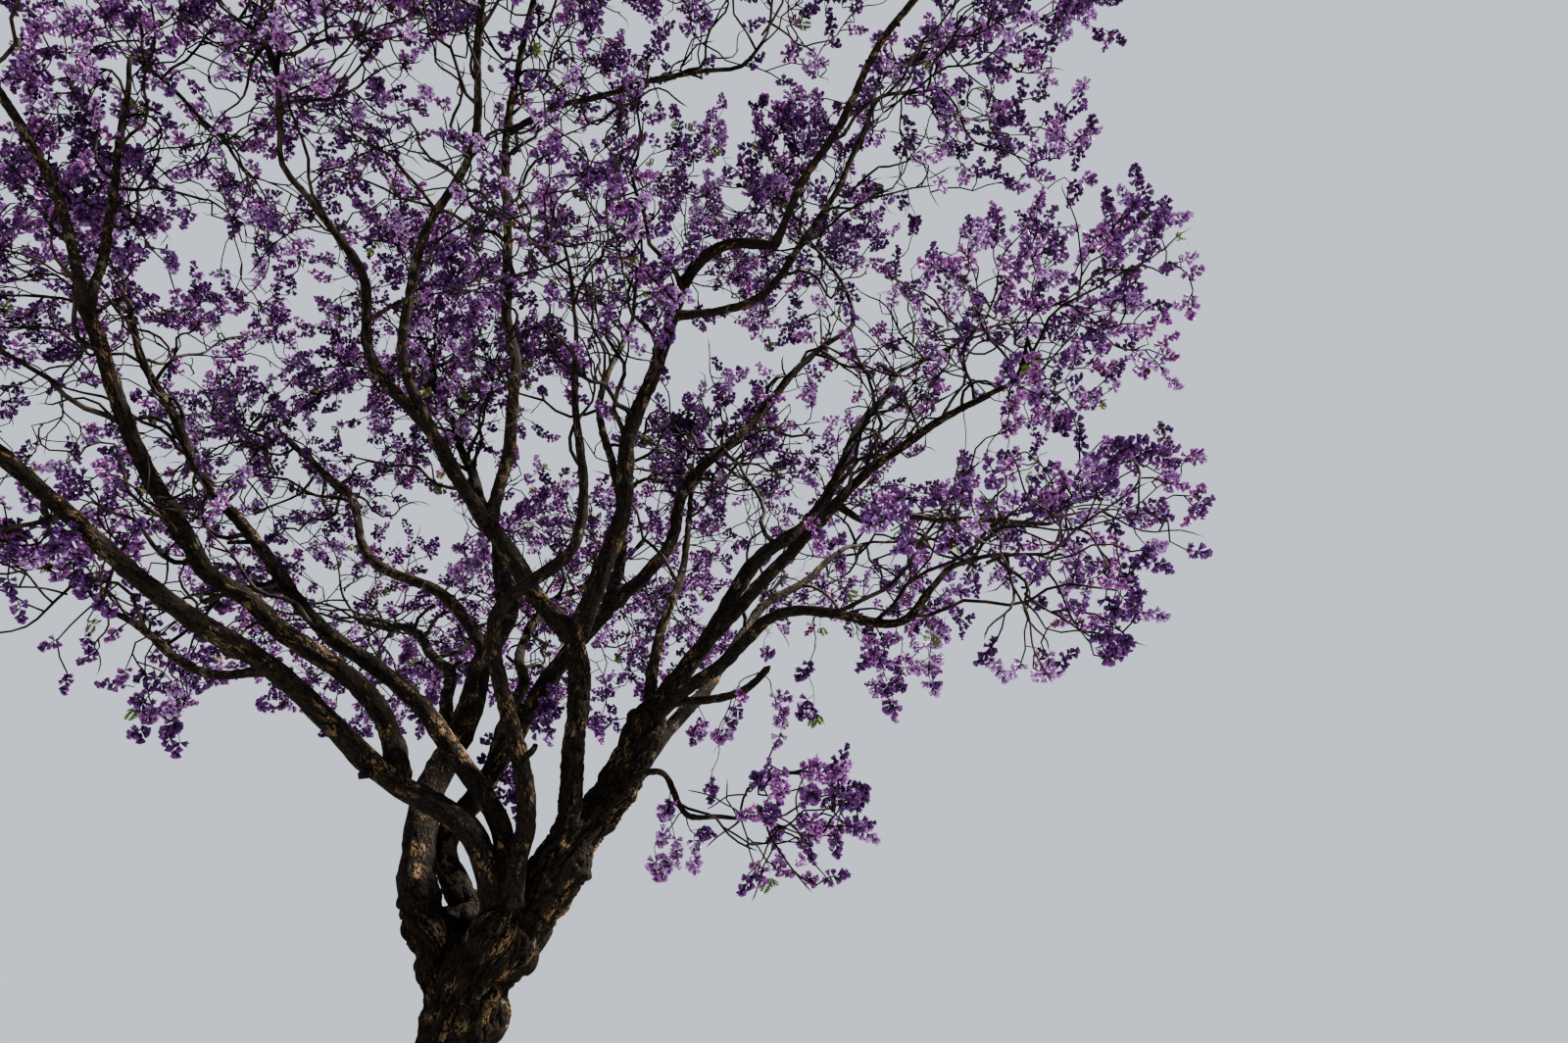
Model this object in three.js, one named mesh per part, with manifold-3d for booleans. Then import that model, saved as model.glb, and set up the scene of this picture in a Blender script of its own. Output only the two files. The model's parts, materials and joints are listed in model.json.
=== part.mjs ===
// Jacaranda tree in blossom: a leaning trunk that forks low, sinuous boughs and a wide, open crown.
// Millimetres and degrees, +Z up. The origin is the middle of the flat cut at ground level.
import * as THREE from "three";
import Module from "manifold-3d";

const wasm = await Module();
wasm.setup();

const GAP = 0.3; // left between two pieces that touch
const DEGREE = Math.PI / 180;

// The clear trunk, from the ground to where its arms part.
const TRUNK = {
  height: 2500,
  lean: 0.115, // toward +X, for each unit of height
  waist: 272, // radius of the clear column
  swell: 0.1, // how much wider the column is at its foot, without the flare
  foot: 150, // how far the root flare stands out at the ground
  flare: 300, // height in which the root flare fades
  roots: 5, // ridges in the flare
  ridge: 0.55, // how much a ridge adds to the flare, and a hollow takes from it
  sides: 20,
  rings: [0, 90, 200, 380, 650, 1100, 1650, 2150, 2500],
};

// Arms of the fork, fused to the column. Each starts on its middle line at a height, and goes on in
// legs of heading (0 is +X, 90 is +Y), rise and length.
const ARMS = {
  left_arm: { height: 1900, girth: 215, tip: 160, legs: [[180, 72, 600], [185, 58, 460]] },
  front_arm: { height: 2000, girth: 220, tip: 165, legs: [[-45, 62, 560], [-30, 58, 350]] },
  rear_arm: { height: 2100, girth: 195, tip: 135, legs: [[110, 65, 520], [130, 75, 380]] },
  right_arm: { height: 1950, girth: 245, tip: 222, legs: [[0, 65, 680], [-5, 58, 400]] },
};

// Boughs. Each leaves its parent at a distance along it and goes on in legs of heading, rise and
// length. Girth is the radius where it leaves, tip the radius at its end.
const BOUGHS = [
  // Left side, from the pale upright stem
  { name: "left_upright", from: "left_arm", at: 960, girth: 146, tip: 44,
    legs: [[160, 70, 400], [95, 65, 700], [75, 65, 1700], [95, 55, 1150], [130, 55, 3350]] },
  { name: "left_inner", from: "left_upright", at: 2800, girth: 62, tip: 34,
    legs: [[175, 50, 850], [165, 30, 1050], [135, 55, 1050], [155, 40, 1400]] },
  { name: "back_left", from: "left_upright", at: 1500, girth: 74, tip: 36,
    legs: [[110, 40, 2000], [125, 30, 1700], [130, 20, 1500]] },
  // Left side, from the front of the fork
  { name: "left_low", from: "front_arm", at: 780, girth: 108, tip: 34,
    legs: [[-145, 65, 700], [-160, 35, 700], [-140, 30, 1300], [-145, 30, 2000], [-168, 40, 2700]] },
  { name: "left_under", from: "left_low", at: 2700, girth: 42, tip: 28,
    legs: [[170, 5, 600], [165, 30, 950]] },
  { name: "left_rising", from: "left_low", at: 1400, girth: 92, tip: 56,
    legs: [[150, 60, 650], [-165, 40, 1450], [-160, 25, 550], [-115, 48, 2250]] },
  { name: "left_tall_front", from: "left_rising", at: 4840, girth: 46, tip: 30,
    legs: [[-130, 65, 900], [-110, 33, 1900]] },
  { name: "left_tall_back", from: "left_rising", at: 4780, girth: 44, tip: 28,
    legs: [[135, 75, 1150], [155, 80, 1550]] },
  { name: "left_middle", from: "front_arm", at: 860, girth: 92, tip: 34,
    legs: [[-155, 80, 800], [-175, 50, 1000], [168, 40, 1950], [170, 50, 2750], [170, 60, 1250]] },
  // Middle, rising over the fork
  { name: "centre", from: "front_arm", at: 880, girth: 88, tip: 24,
    legs: [[-65, 65, 800], [-110, 65, 1500], [-20, 45, 850], [-100, 80, 1600]] },
  { name: "mid_upright", from: "right_arm", at: 960, girth: 98, tip: 88,
    legs: [[-30, 65, 950], [-80, 75, 650], [-115, 75, 700]] },
  { name: "mid_left", from: "mid_upright", at: 2250, girth: 82, tip: 74,
    legs: [[-160, 50, 650], [-150, 45, 600]] },
  { name: "mid_top", from: "mid_left", at: 1210, girth: 58, tip: 30,
    legs: [[-20, 85, 1500], [-160, 75, 700], [-100, 80, 2250], [-60, 70, 700]] },
  { name: "mid_top_side", from: "mid_top", at: 3950, girth: 34, tip: 24,
    legs: [[0, 35, 700], [-5, 12, 1350]] },
  { name: "mid_left_arch", from: "mid_left", at: 1200, girth: 68, tip: 34,
    legs: [[-150, 50, 950], [-155, 50, 750], [-135, 70, 750], [-145, 50, 800]] },
  { name: "mid_left_fork", from: "mid_left_arch", at: 960, girth: 46, tip: 28,
    legs: [[-130, 60, 750], [-70, 60, 700], [-45, 50, 1050], [-75, 30, 1700]] },
  { name: "right_arch", from: "mid_upright", at: 2260, girth: 85, tip: 44,
    legs: [[-35, 65, 1000], [-65, 80, 850], [-25, 70, 1150], [-30, 55, 750], [-25, -15, 650]] },
  { name: "right_arch_top", from: "right_arch", at: 4350, girth: 38, tip: 27,
    legs: [[-55, 40, 950], [-60, 15, 1900]] },
  { name: "right_arch_side", from: "right_arch", at: 3020, girth: 42, tip: 26,
    legs: [[10, 20, 800], [-5, 55, 850], [-10, 65, 1400]] },
  // Back of the tree
  { name: "rear", from: "rear_arm", at: 820, girth: 108, tip: 76,
    legs: [[155, 60, 650], [30, 55, 550], [20, 70, 1050], [-10, 50, 1050]] },
  { name: "rear_right", from: "rear", at: 3250, girth: 68, tip: 34,
    legs: [[0, 50, 850], [0, 75, 600], [10, 55, 900], [10, 52, 1400]] },
  { name: "back_top", from: "rear", at: 3240, girth: 62, tip: 32,
    legs: [[90, 65, 1500], [130, 65, 1550], [50, 75, 1300]] },
  { name: "back_middle", from: "rear", at: 1050, girth: 72, tip: 34,
    legs: [[85, 50, 1650], [100, 45, 1700], [70, 40, 2200]] },
  // Right side, from the thick leaning bough
  { name: "right_main", from: "right_arm", at: 980, girth: 205, tip: 140,
    legs: [[0, 55, 850], [0, 66, 1100]] },
  { name: "right_upper", from: "right_main", at: 1840, girth: 88, tip: 32,
    legs: [[0, 58, 900], [5, 58, 750], [18, 45, 700], [32, 62, 1250], [40, 55, 850]] },
  { name: "right_outer", from: "right_upper", at: 900, girth: 66, tip: 30,
    legs: [[-30, 35, 750], [-5, 50, 650], [5, 50, 800], [-10, 30, 1300]] },
  { name: "right_mid", from: "right_outer", at: 1650, girth: 36, tip: 24,
    legs: [[-10, -35, 350], [-10, 10, 350], [0, -5, 1050]] },
  { name: "right_shoulder", from: "right_main", at: 1800, girth: 56, tip: 30,
    legs: [[85, 75, 900], [62, 65, 950], [85, 75, 600]] },
  { name: "right_lower", from: "right_main", at: 1780, girth: 66, tip: 28,
    legs: [[-45, 20, 750], [-40, 25, 850], [-35, -15, 1150], [-35, 35, 400]] },
  { name: "right_stub", from: "right_lower", at: 330, girth: 40, tip: 30,
    legs: [[-22, 2, 640], [0, 42, 330]] },
  { name: "right_sprig", from: "right_main", at: 1150, girth: 34, tip: 20,
    legs: [[-45, 5, 620], [-40, -50, 450], [-30, -10, 350]] },
  { name: "back_right", from: "right_main", at: 900, girth: 78, tip: 36,
    legs: [[55, 45, 1700], [65, 45, 2000], [50, 40, 1950]] },
];

// Masses of blossom. Each grows on a bough's tip and keeps to a space of its own: a ball a little
// flattened, with the middle and radius given here, up to halfway to its neighbours.
const MASSES = [
  { name: "blossom_left_low", on: "left_low", middle: [-5250, -2700, 7700], radius: 1700 },
  { name: "blossom_left_under", on: "left_under", middle: [-3300, -700, 5600], radius: 1400 },
  { name: "blossom_left_front", on: "left_tall_front", middle: [-3300, -4700, 9200], radius: 1950 },
  { name: "blossom_left_high", on: "left_tall_back", middle: [-3000, -600, 10400], radius: 2150 },
  { name: "blossom_left_middle", on: "left_middle", middle: [-4800, 700, 9000], radius: 1950 },
  { name: "blossom_left_inner", on: "left_inner", middle: [-3800, 2800, 8400], radius: 1900 },
  { name: "blossom_left_upright", on: "left_upright", middle: [-2200, 3200, 10300], radius: 2050 },
  { name: "blossom_back_left", on: "back_left", middle: [-3000, 5000, 7300], radius: 1850 },
  { name: "blossom_back", on: "back_middle", middle: [500, 4800, 7500], radius: 2100 },
  { name: "blossom_back_right", on: "back_right", middle: [3900, 4200, 7900], radius: 1950 },
  { name: "blossom_back_top", on: "back_top", middle: [1000, 1800, 11400], radius: 1900 },
  { name: "blossom_centre", on: "centre", middle: [900, -2300, 8000], radius: 1300 },
  { name: "blossom_top", on: "mid_top", middle: [200, -1300, 12000], radius: 1750 },
  { name: "blossom_top_right", on: "mid_top_side", middle: [2800, -1600, 11600], radius: 1600 },
  { name: "blossom_top_left", on: "mid_left_arch", middle: [-1500, -2900, 10000], radius: 1750 },
  { name: "blossom_front", on: "mid_left_fork", middle: [900, -4900, 9900], radius: 2000 },
  { name: "blossom_front_right", on: "right_arch_top", middle: [4100, -4400, 9400], radius: 1900 },
  { name: "blossom_right_high", on: "right_arch_side", middle: [4500, -1200, 10500], radius: 1600 },
  { name: "blossom_right_inner", on: "rear_right", middle: [2900, 1100, 10800], radius: 1500 },
  { name: "blossom_right_upper", on: "right_upper", middle: [5000, 1300, 9300], radius: 1750 },
  { name: "blossom_right_outer", on: "right_outer", middle: [5050, -800, 7950], radius: 1650 },
  { name: "blossom_right_mid", on: "right_mid", middle: [5400, -100, 6300], radius: 1250 },
  { name: "blossom_right_low", on: "right_lower", middle: [4500, -2100, 5100], radius: 1250 },
  { name: "blossom_right_shoulder", on: "right_shoulder", middle: [2000, 1300, 7800], radius: 1300 },
  { name: "blossom_right_sprig", on: "right_sprig", middle: [2680, -1000, 3400], radius: 780 },
];

// How boughs bend and swell.
const BOUGH = {
  seed: 7,
  seedStep: 11,
  step: 660, // between two rings
  wave: 1500, // length of one sway
  sway: 20, // how far it sways to a side, and how much more for each unit of its tip's radius
  swayShare: 0.35,
  collar: 0.3, // how much wider a bough is where it leaves, for its tip's radius
  collarReach: 2, // radii in which that fades
  thick: 60, // from this radius on a bough has more sides
  sides: 7,
  thinSides: 5,
};

// How a mass branches. Shares are of the radius of its space unless they say otherwise.
const SPRAY = {
  seed: 1000,
  seedStep: 97,
  flat: 0.86, // height of a space for its width
  keep: 12, // everything stays this far inside its space
  clear: 25, // and this far from any bough
  nearEnd: 250, // but for this end of the bough that carries the mass
  tries: 8, // directions tried for each twig or shoot
  shift: 0.7, // turn about the upright from one try to the next
  lift: 0.35, // how far the twigs turn away from the heart of the crown
  reach: 0.97, // of the way to the edge of the space, for a twig with its cluster
  least: 0.12, // no twig is shorter than this
  kink: 0.25, // most bend of a twig at half its length, for its length
  rooted: 0.5, // radius of a twig's hidden root, for its own
  thinning: 0.4, // how much thinner a twig is at its end
  apart: 0.8, // least distance between two clusters, for the sum of their radii
};
const STEM = {
  sides: 4,
  step: 450,
  girth: 0.92, // of its bough's tip
  tip: 0.47,
  runs: 0.8, // of the way to the middle of the space
  straight: 0.35, // share of that in which it keeps its bough's direction
};
const TWIG = {
  count: 5, // that leave the stem
  sides: 3,
  steps: 2,
  first: 0.35, // share of the stem before the first twig
  girth: 0.55, // of the bough's tip
};
const SHOOT = {
  count: 2, // that leave each twig on its sides
  steps: 1,
  first: 0.4, // share of the twig before the first shoot
  over: 0.4, // share of the twig over which they leave
  girth: 0.7, // of the twig
  angle: [50, 75],
  reach: [0.58, 0.94], // with its cluster
};
const CLUSTER = {
  length: [0.39, 0.53],
  onShoot: 0.85, // length on a side shoot, for that on a twig
  belly: 0.34, // radius where it is widest, for its length
  bellyAt: 0.45, // how far along that is
};
const HEART = [0, 0, 5000]; // the crown opens away from here

const BARK = { color: 0x5b4a3c, roughness: 0.9, metalness: 0 };
const BLOSSOM = { color: 0x8a5fb0, roughness: 0.7, metalness: 0 };

// Numbers from 0 to 1 that are the same on every run.
function seeded(seed) {
  let state = seed;
  return () => {
    state = (state * 16807) % 2147483647;
    return state / 2147483647;
  };
}

function vector(x, y, z) {
  return new THREE.Vector3(x, y, z);
}

function along(start, way, distance) {
  return start.clone().addScaledVector(way, distance);
}

function toward(heading, rise) {
  const level = Math.cos(rise * DEGREE);
  return vector(
    level * Math.cos(heading * DEGREE),
    level * Math.sin(heading * DEGREE),
    Math.sin(rise * DEGREE),
  );
}

// Two directions square to a way and to each other.
function acrossOf(way) {
  const other = Math.abs(way.z) < 0.9 ? vector(0, 0, 1) : vector(1, 0, 0);
  const side = way.clone().cross(other).normalize();
  return [side, way.clone().cross(side)];
}

// A smooth line through joints, which sways to both sides and comes to rest at its two ends.
class Line {
  constructor(joints, sway, wave, draw) {
    this.joints = joints;
    this.sway = sway;
    this.wave = wave;
    this.legs = joints.slice(1).map((joint, i) => joint.distanceTo(joints[i]));
    this.length = this.legs.reduce((sum, leg) => sum + leg, 0);
    this.ways = joints.map((joint, i) => {
      const before = joints[Math.max(i - 1, 0)];
      const after = joints[Math.min(i + 1, joints.length - 1)];
      return after.clone().sub(before).normalize();
    });
    this.phases = [draw() * 2 * Math.PI, draw() * 2 * Math.PI];
    const whole = joints[joints.length - 1].clone().sub(joints[0]).normalize();
    this.across = acrossOf(whole);
  }

  // The point at a distance from the start, before the sway.
  plain(distance) {
    let leg = 0;
    let left = distance;
    while (leg < this.legs.length - 1 && left > this.legs[leg]) {
      left -= this.legs[leg];
      leg += 1;
    }
    const size = this.legs[leg];
    const t = left / size;
    const t2 = t * t;
    const t3 = t2 * t;
    return vector(0, 0, 0)
      .addScaledVector(this.joints[leg], 2 * t3 - 3 * t2 + 1)
      .addScaledVector(this.ways[leg], (t3 - 2 * t2 + t) * size)
      .addScaledVector(this.joints[leg + 1], 3 * t2 - 2 * t3)
      .addScaledVector(this.ways[leg + 1], (t3 - t2) * size);
  }

  point(distance) {
    const turn = (2 * Math.PI * distance) / this.wave;
    const nearEnd = Math.min(distance, this.length - distance);
    const rest = Math.min(1, Math.max(0, (2 * nearEnd) / this.wave));
    return this.plain(distance)
      .addScaledVector(this.across[0], this.sway * rest * Math.sin(turn + this.phases[0]))
      .addScaledVector(this.across[1], this.sway * rest * Math.sin(0.7 * turn + this.phases[1]));
  }

  way(distance) {
    const reach = this.length * 0.01;
    const before = this.point(Math.max(0, distance - reach));
    return this.point(Math.min(this.length, distance + reach)).sub(before).normalize();
  }
}

// A closed solid from rings of equally many points, each ring counter-clockwise round its way. It
// ends flat, or in a point.
function skin(rings, point = null) {
  const count = rings[0].length;
  const last = (rings.length - 1) * count;
  const faces = [];
  for (let ring = 0; ring < rings.length - 1; ring += 1) {
    for (let j = 0; j < count; j += 1) {
      const a = ring * count + j;
      const b = ring * count + ((j + 1) % count);
      faces.push(a, b, b + count, a, b + count, a + count);
    }
  }
  for (let j = 1; j < count - 1; j += 1) {
    faces.push(0, j + 1, j);
    if (!point) faces.push(last, last + j, last + j + 1);
  }
  if (point) {
    for (let j = 0; j < count; j += 1) faces.push(last + j, last + ((j + 1) % count), last + count);
  }
  const points = point ? [...rings.flat(), point] : rings.flat();
  const numbers = points.flatMap(({ x, y, z }) => [x, y, z]);
  return new wasm.Manifold(
    new wasm.Mesh({
      numProp: 3,
      vertProperties: new Float32Array(numbers),
      triVerts: new Uint32Array(faces),
    }),
  );
}

// The ring of a round section about a point.
function ringAt(middle, way, first, radius, sides) {
  const second = way.clone().cross(first);
  return Array.from({ length: sides }, (_, j) => {
    const angle = (2 * Math.PI * j) / sides;
    return middle
      .clone()
      .addScaledVector(first, radius * Math.cos(angle))
      .addScaledVector(second, radius * Math.sin(angle));
  });
}

// Rings along a line. Grown makes them that much wider, and the line longer.
function ringsAlong(line, radiusAt, sides, count, grown = 0) {
  let first = acrossOf(line.way(0))[0];
  const rings = [];
  for (let i = 0; i <= count; i += 1) {
    const distance = (line.length * i) / count;
    const way = line.way(distance);
    first = first.clone().addScaledVector(way, -first.dot(way)).normalize();
    const longer = i === 0 ? -grown : i === count ? grown : 0;
    const middle = along(line.point(distance), way, longer);
    rings.push(ringAt(middle, way, first, radiusAt(distance) + grown, sides));
  }
  return rings;
}

function legsFrom(start, legs) {
  const joints = [start];
  for (const [heading, rise, length] of legs) {
    joints.push(along(joints[joints.length - 1], toward(heading, rise), length));
  }
  return joints;
}

// A limb: its line, its radius along it and its solid, true or grown for cutting its neighbours.
class Limb {
  constructor(start, { girth, tip, legs }, seed) {
    this.girth = girth;
    this.tip = tip;
    const sway = BOUGH.sway + BOUGH.swayShare * tip;
    this.line = new Line(legsFrom(start, legs), sway, BOUGH.wave, seeded(seed));
    this.sides = girth > BOUGH.thick ? BOUGH.sides : BOUGH.thinSides;
  }

  radius(distance) {
    const share = distance / this.line.length;
    const collar = BOUGH.collar * Math.exp(-distance / (BOUGH.collarReach * this.girth));
    return this.tip + (this.girth - this.tip) * (1 - share) + this.tip * collar;
  }

  solid(grown = 0) {
    const count = Math.round(this.line.length / BOUGH.step);
    const radiusAt = (distance) => this.radius(distance);
    return skin(ringsAlong(this.line, radiusAt, this.sides, count, grown));
  }

  // Short straight stretches, each with its radius, for keeping twigs clear.
  stretches() {
    const count = Math.ceil(this.line.length / (BOUGH.step / 2));
    const marks = Array.from({ length: count + 1 }, (_, i) => (this.line.length * i) / count);
    return marks.slice(1).map((mark, i) => ({
      from: this.line.point(marks[i]),
      to: this.line.point(mark),
      radius: this.radius(marks[i]),
      toEnd: this.line.length - mark,
    }));
  }
}

function trunkMiddle(height) {
  return vector(TRUNK.lean * height, 0, height);
}

function trunkRadius(height, angle) {
  const column = TRUNK.waist * (1 + TRUNK.swell * (1 - height / TRUNK.height));
  const root = 1 + TRUNK.ridge * Math.cos(TRUNK.roots * angle);
  return column + TRUNK.foot * root * Math.exp(-height / TRUNK.flare);
}

function trunkColumn(grown) {
  const rings = TRUNK.rings.map((height) =>
    Array.from({ length: TRUNK.sides }, (_, j) => {
      const angle = (2 * Math.PI * j) / TRUNK.sides;
      const radius = trunkRadius(height, angle) + grown;
      return trunkMiddle(height).add(vector(radius * Math.cos(angle), radius * Math.sin(angle), 0));
    }),
  );
  return skin(rings);
}

function largest(solid) {
  const bodies = solid.decompose();
  return bodies.reduce((best, body) => (body.volume() > best.volume() ? body : best));
}

function boxesMeet(one, other) {
  const a = one.boundingBox();
  const b = other.boundingBox();
  return [0, 1, 2].every((i) => a.min[i] <= b.max[i] && b.min[i] <= a.max[i]);
}

const limbs = new Map();
const pieces = new Map();
const cutters = new Map();

let seed = BOUGH.seed;
for (const [name, arm] of Object.entries(ARMS)) {
  seed += BOUGH.seedStep;
  limbs.set(name, new Limb(trunkMiddle(arm.height), arm, seed));
}
const armNames = Object.keys(ARMS);
const fork = (grown) => armNames.map((name) => limbs.get(name).solid(grown));
pieces.set("trunk", largest(wasm.Manifold.union([trunkColumn(0), ...fork(0)])));
cutters.set("trunk", wasm.Manifold.union([trunkColumn(GAP), ...fork(GAP)]));

for (const bough of BOUGHS) {
  seed += BOUGH.seedStep;
  const limb = new Limb(limbs.get(bough.from).line.point(bough.at), bough, seed);
  let solid = limb.solid();
  for (const cutter of cutters.values()) {
    if (boxesMeet(solid, cutter)) solid = solid.subtract(cutter);
  }
  limbs.set(bough.name, limb);
  pieces.set(bough.name, largest(solid));
  cutters.set(bough.name, limb.solid(GAP));
}

// A point in a space where the flattened balls are round.
function rounded(point) {
  return vector(point.x, point.y, point.z / SPRAY.flat);
}

const spaces = MASSES.map((mass) => ({
  middle: rounded(vector(...mass.middle)),
  radius: mass.radius,
}));

// How far a point lies inside a mass's own space, less than 0 outside it.
function depthIn(space, point) {
  const here = rounded(point);
  const power = (other) => here.distanceToSquared(other.middle) - other.radius ** 2;
  let depth = space.radius - here.distanceTo(space.middle);
  for (const other of spaces) {
    if (other === space) continue;
    const apart = space.middle.distanceTo(other.middle);
    depth = Math.min(depth, (power(other) - power(space)) / (2 * apart));
  }
  return depth;
}

// The least distance between two straight stretches.
function apartFrom(a, b, c, d) {
  const one = b.clone().sub(a);
  const two = d.clone().sub(c);
  const gap = a.clone().sub(c);
  const dot = one.dot(two);
  const square = one.lengthSq() * two.lengthSq() - dot * dot;
  const clamp = (value) => Math.min(1, Math.max(0, value));
  let s = 0;
  if (square > 1e-9) s = clamp((dot * two.dot(gap) - two.lengthSq() * one.dot(gap)) / square);
  const t = clamp((dot * s + two.dot(gap)) / two.lengthSq());
  s = clamp((dot * t - one.dot(gap)) / one.lengthSq());
  return along(a, one, s).distanceTo(along(c, two, t));
}

const stretches = [...limbs.entries()].flatMap(([name, limb]) =>
  limb.stretches().map((stretch) => ({ ...stretch, name })),
);

function pick([least, most], draw) {
  return least + (most - least) * draw();
}

// How far a ray from a point runs inside a space.
function runIn(space, start, way) {
  let near = 0;
  let far = 2 * space.radius;
  for (let halving = 0; halving < 14; halving += 1) {
    const half = (near + far) / 2;
    if (depthIn(space, along(start, way, half)) > SPRAY.keep) near = half;
    else far = half;
  }
  return near;
}

// A direction at an angle to a way, turned about it.
function turned(way, angle, roll) {
  const [side, up] = acrossOf(way);
  return way
    .clone()
    .multiplyScalar(Math.cos(angle))
    .addScaledVector(side, Math.sin(angle) * Math.cos(roll))
    .addScaledVector(up, Math.sin(angle) * Math.sin(roll));
}

// One of many directions spread evenly over a ball.
function spread(index, count, roll) {
  const height = 1 - (2 * index + 1) / count;
  const level = Math.sqrt(1 - height * height);
  const angle = index * Math.PI * (3 - Math.sqrt(5)) + roll;
  return vector(level * Math.cos(angle), level * Math.sin(angle), height);
}

// The point at a share of the way along a line that is run in straight steps.
function onSteps(line, steps, share) {
  const step = Math.min(Math.floor(share * steps), steps - 1);
  const from = line.point((line.length * step) / steps);
  const to = line.point((line.length * (step + 1)) / steps);
  return from.lerp(to, share * steps - step);
}

// One mass: a stem from its bough's tip, twigs from the stem and side shoots from the twigs, each
// widening at its end into a cluster that stands for a whole spray of blossom.
class Mass {
  constructor({ on, middle, radius }, index) {
    this.on = on;
    this.radius = radius;
    this.space = spaces[index];
    this.draw = seeded(SPRAY.seed + SPRAY.seedStep * index);
    this.bough = limbs.get(on);
    this.middle = vector(...middle);
    this.outward = this.middle.clone().sub(vector(...HEART)).normalize();
    this.clusters = [];
    this.parts = [];
  }

  growStem() {
    const { line, tip } = this.bough;
    const way = line.way(line.length);
    const start = along(line.point(line.length), way, GAP);
    const end = start.clone().lerp(this.middle, STEM.runs);
    const bend = along(start, way, start.distanceTo(end) * STEM.straight);
    this.stem = new Line([start, bend, end], 0, BOUGH.wave, this.draw);
    this.stemSteps = Math.max(1, Math.round(this.stem.length / STEM.step));
    const taper = (STEM.girth - STEM.tip) / this.stem.length;
    const radiusAt = (distance) => tip * (STEM.girth - taper * distance);
    this.parts.push(skin(ringsAlong(this.stem, radiusAt, STEM.sides, this.stemSteps)));
  }

  // Whether a straight stretch of a given radius stays in the space and clear of the boughs, but
  // for the end of the bough that carries the mass.
  fits(from, to, radius) {
    const depth = Math.min(depthIn(this.space, from), depthIn(this.space, to));
    if (depth < radius + SPRAY.keep) return false;
    return stretches.every(
      (other) =>
        (other.name === this.on && other.toEnd < SPRAY.nearEnd) ||
        apartFrom(from, to, other.from, other.to) > other.radius + radius + SPRAY.clear,
    );
  }

  lineFits(line, steps, radius) {
    for (let step = 0; step < steps; step += 1) {
      const from = line.point((line.length * step) / steps);
      const to = line.point((line.length * (step + 1)) / steps);
      if (!this.fits(from, to, radius)) return false;
    }
    return true;
  }

  // A bent line of at most a given length with its cluster, or null if it would leave the space.
  twigLine(root, direction, most, length) {
    const run = runIn(this.space, root, direction) * SPRAY.reach;
    const reach = Math.min(most, run) - length;
    if (reach < SPRAY.least * this.radius) return null;
    const end = along(root, direction, reach);
    const kink = root.clone().lerp(end, 0.5);
    for (const across of acrossOf(direction)) {
      kink.addScaledVector(across, (this.draw() - 0.5) * SPRAY.kink * reach);
    }
    return new Line([root, kink, end], 0, BOUGH.wave, this.draw);
  }

  // A cluster at the end of a line, or null if there is no room for it.
  clusterOn(line, length, ring) {
    const tip = line.point(line.length);
    const way = line.way(line.length);
    const belly = length * CLUSTER.belly;
    const middle = along(tip, way, length * CLUSTER.bellyAt);
    const end = along(tip, way, length);
    const first = ring[0].clone().sub(tip).normalize();
    const wide = ringAt(middle, way, first, belly, TWIG.sides);
    if ([...wide, end].some((point) => depthIn(this.space, point) < SPRAY.keep)) return null;
    if (!this.fits(tip, middle, belly)) return null;
    const crowded = this.clusters.some(
      (other) => apartFrom(tip, end, other.tip, other.end) < SPRAY.apart * (belly + other.belly),
    );
    return crowded ? null : { tip, end, belly, wide };
  }

  // A twig with its cluster, if there is room for both.
  growTwig(root, direction, most, radius, steps, size) {
    const length = this.radius * size * pick(CLUSTER.length, this.draw);
    const line = this.twigLine(root, direction, most, length);
    if (!line || !this.lineFits(line, steps, radius / 2)) return null;
    const radiusAt = (distance) =>
      radius * (distance === 0 ? SPRAY.rooted : 1 - (SPRAY.thinning * distance) / line.length);
    const rings = ringsAlong(line, radiusAt, TWIG.sides, steps);
    const cluster = this.clusterOn(line, length, rings[steps]);
    if (!cluster) return null;
    this.clusters.push(cluster);
    this.parts.push(skin([...rings, cluster.wide], cluster.end));
    return line;
  }

  growShoots(twig, turn) {
    const radius = this.bough.tip * TWIG.girth * SHOOT.girth;
    for (let k = 0; k < SHOOT.count; k += 1) {
      const share = SHOOT.first + (SHOOT.over * (k + this.draw() / 2)) / SHOOT.count;
      const root = onSteps(twig, TWIG.steps, share);
      const way = twig.way(twig.length * share);
      for (let attempt = 0; attempt < SPRAY.tries; attempt += 1) {
        const angle = pick(SHOOT.angle, this.draw) * DEGREE;
        const roll = Math.PI * (k + attempt / 2) + this.draw() + turn;
        const most = this.radius * pick(SHOOT.reach, this.draw);
        const direction = turned(way, angle, roll);
        if (this.growTwig(root, direction, most, radius, SHOOT.steps, CLUSTER.onShoot)) break;
      }
    }
  }

  grow() {
    this.growStem();
    const radius = this.bough.tip * TWIG.girth;
    const roll = this.draw() * 2 * Math.PI;
    for (let i = 0; i < TWIG.count; i += 1) {
      const share = TWIG.first + ((1 - TWIG.first) * (i + 0.5)) / TWIG.count;
      const root = onSteps(this.stem, this.stemSteps, share);
      let twig = null;
      for (let attempt = 0; attempt < SPRAY.tries && !twig; attempt += 1) {
        const direction = spread(i, TWIG.count, roll + SPRAY.shift * attempt)
          .addScaledVector(this.outward, SPRAY.lift)
          .normalize();
        twig = this.growTwig(root, direction, Infinity, radius, TWIG.steps, 1);
      }
      if (twig) this.growShoots(twig, i);
    }
    return largest(wasm.Manifold.union(this.parts).subtract(cutters.get(this.on)));
  }
}

MASSES.forEach((mass, index) => pieces.set(mass.name, new Mass(mass, index).grow()));

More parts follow.
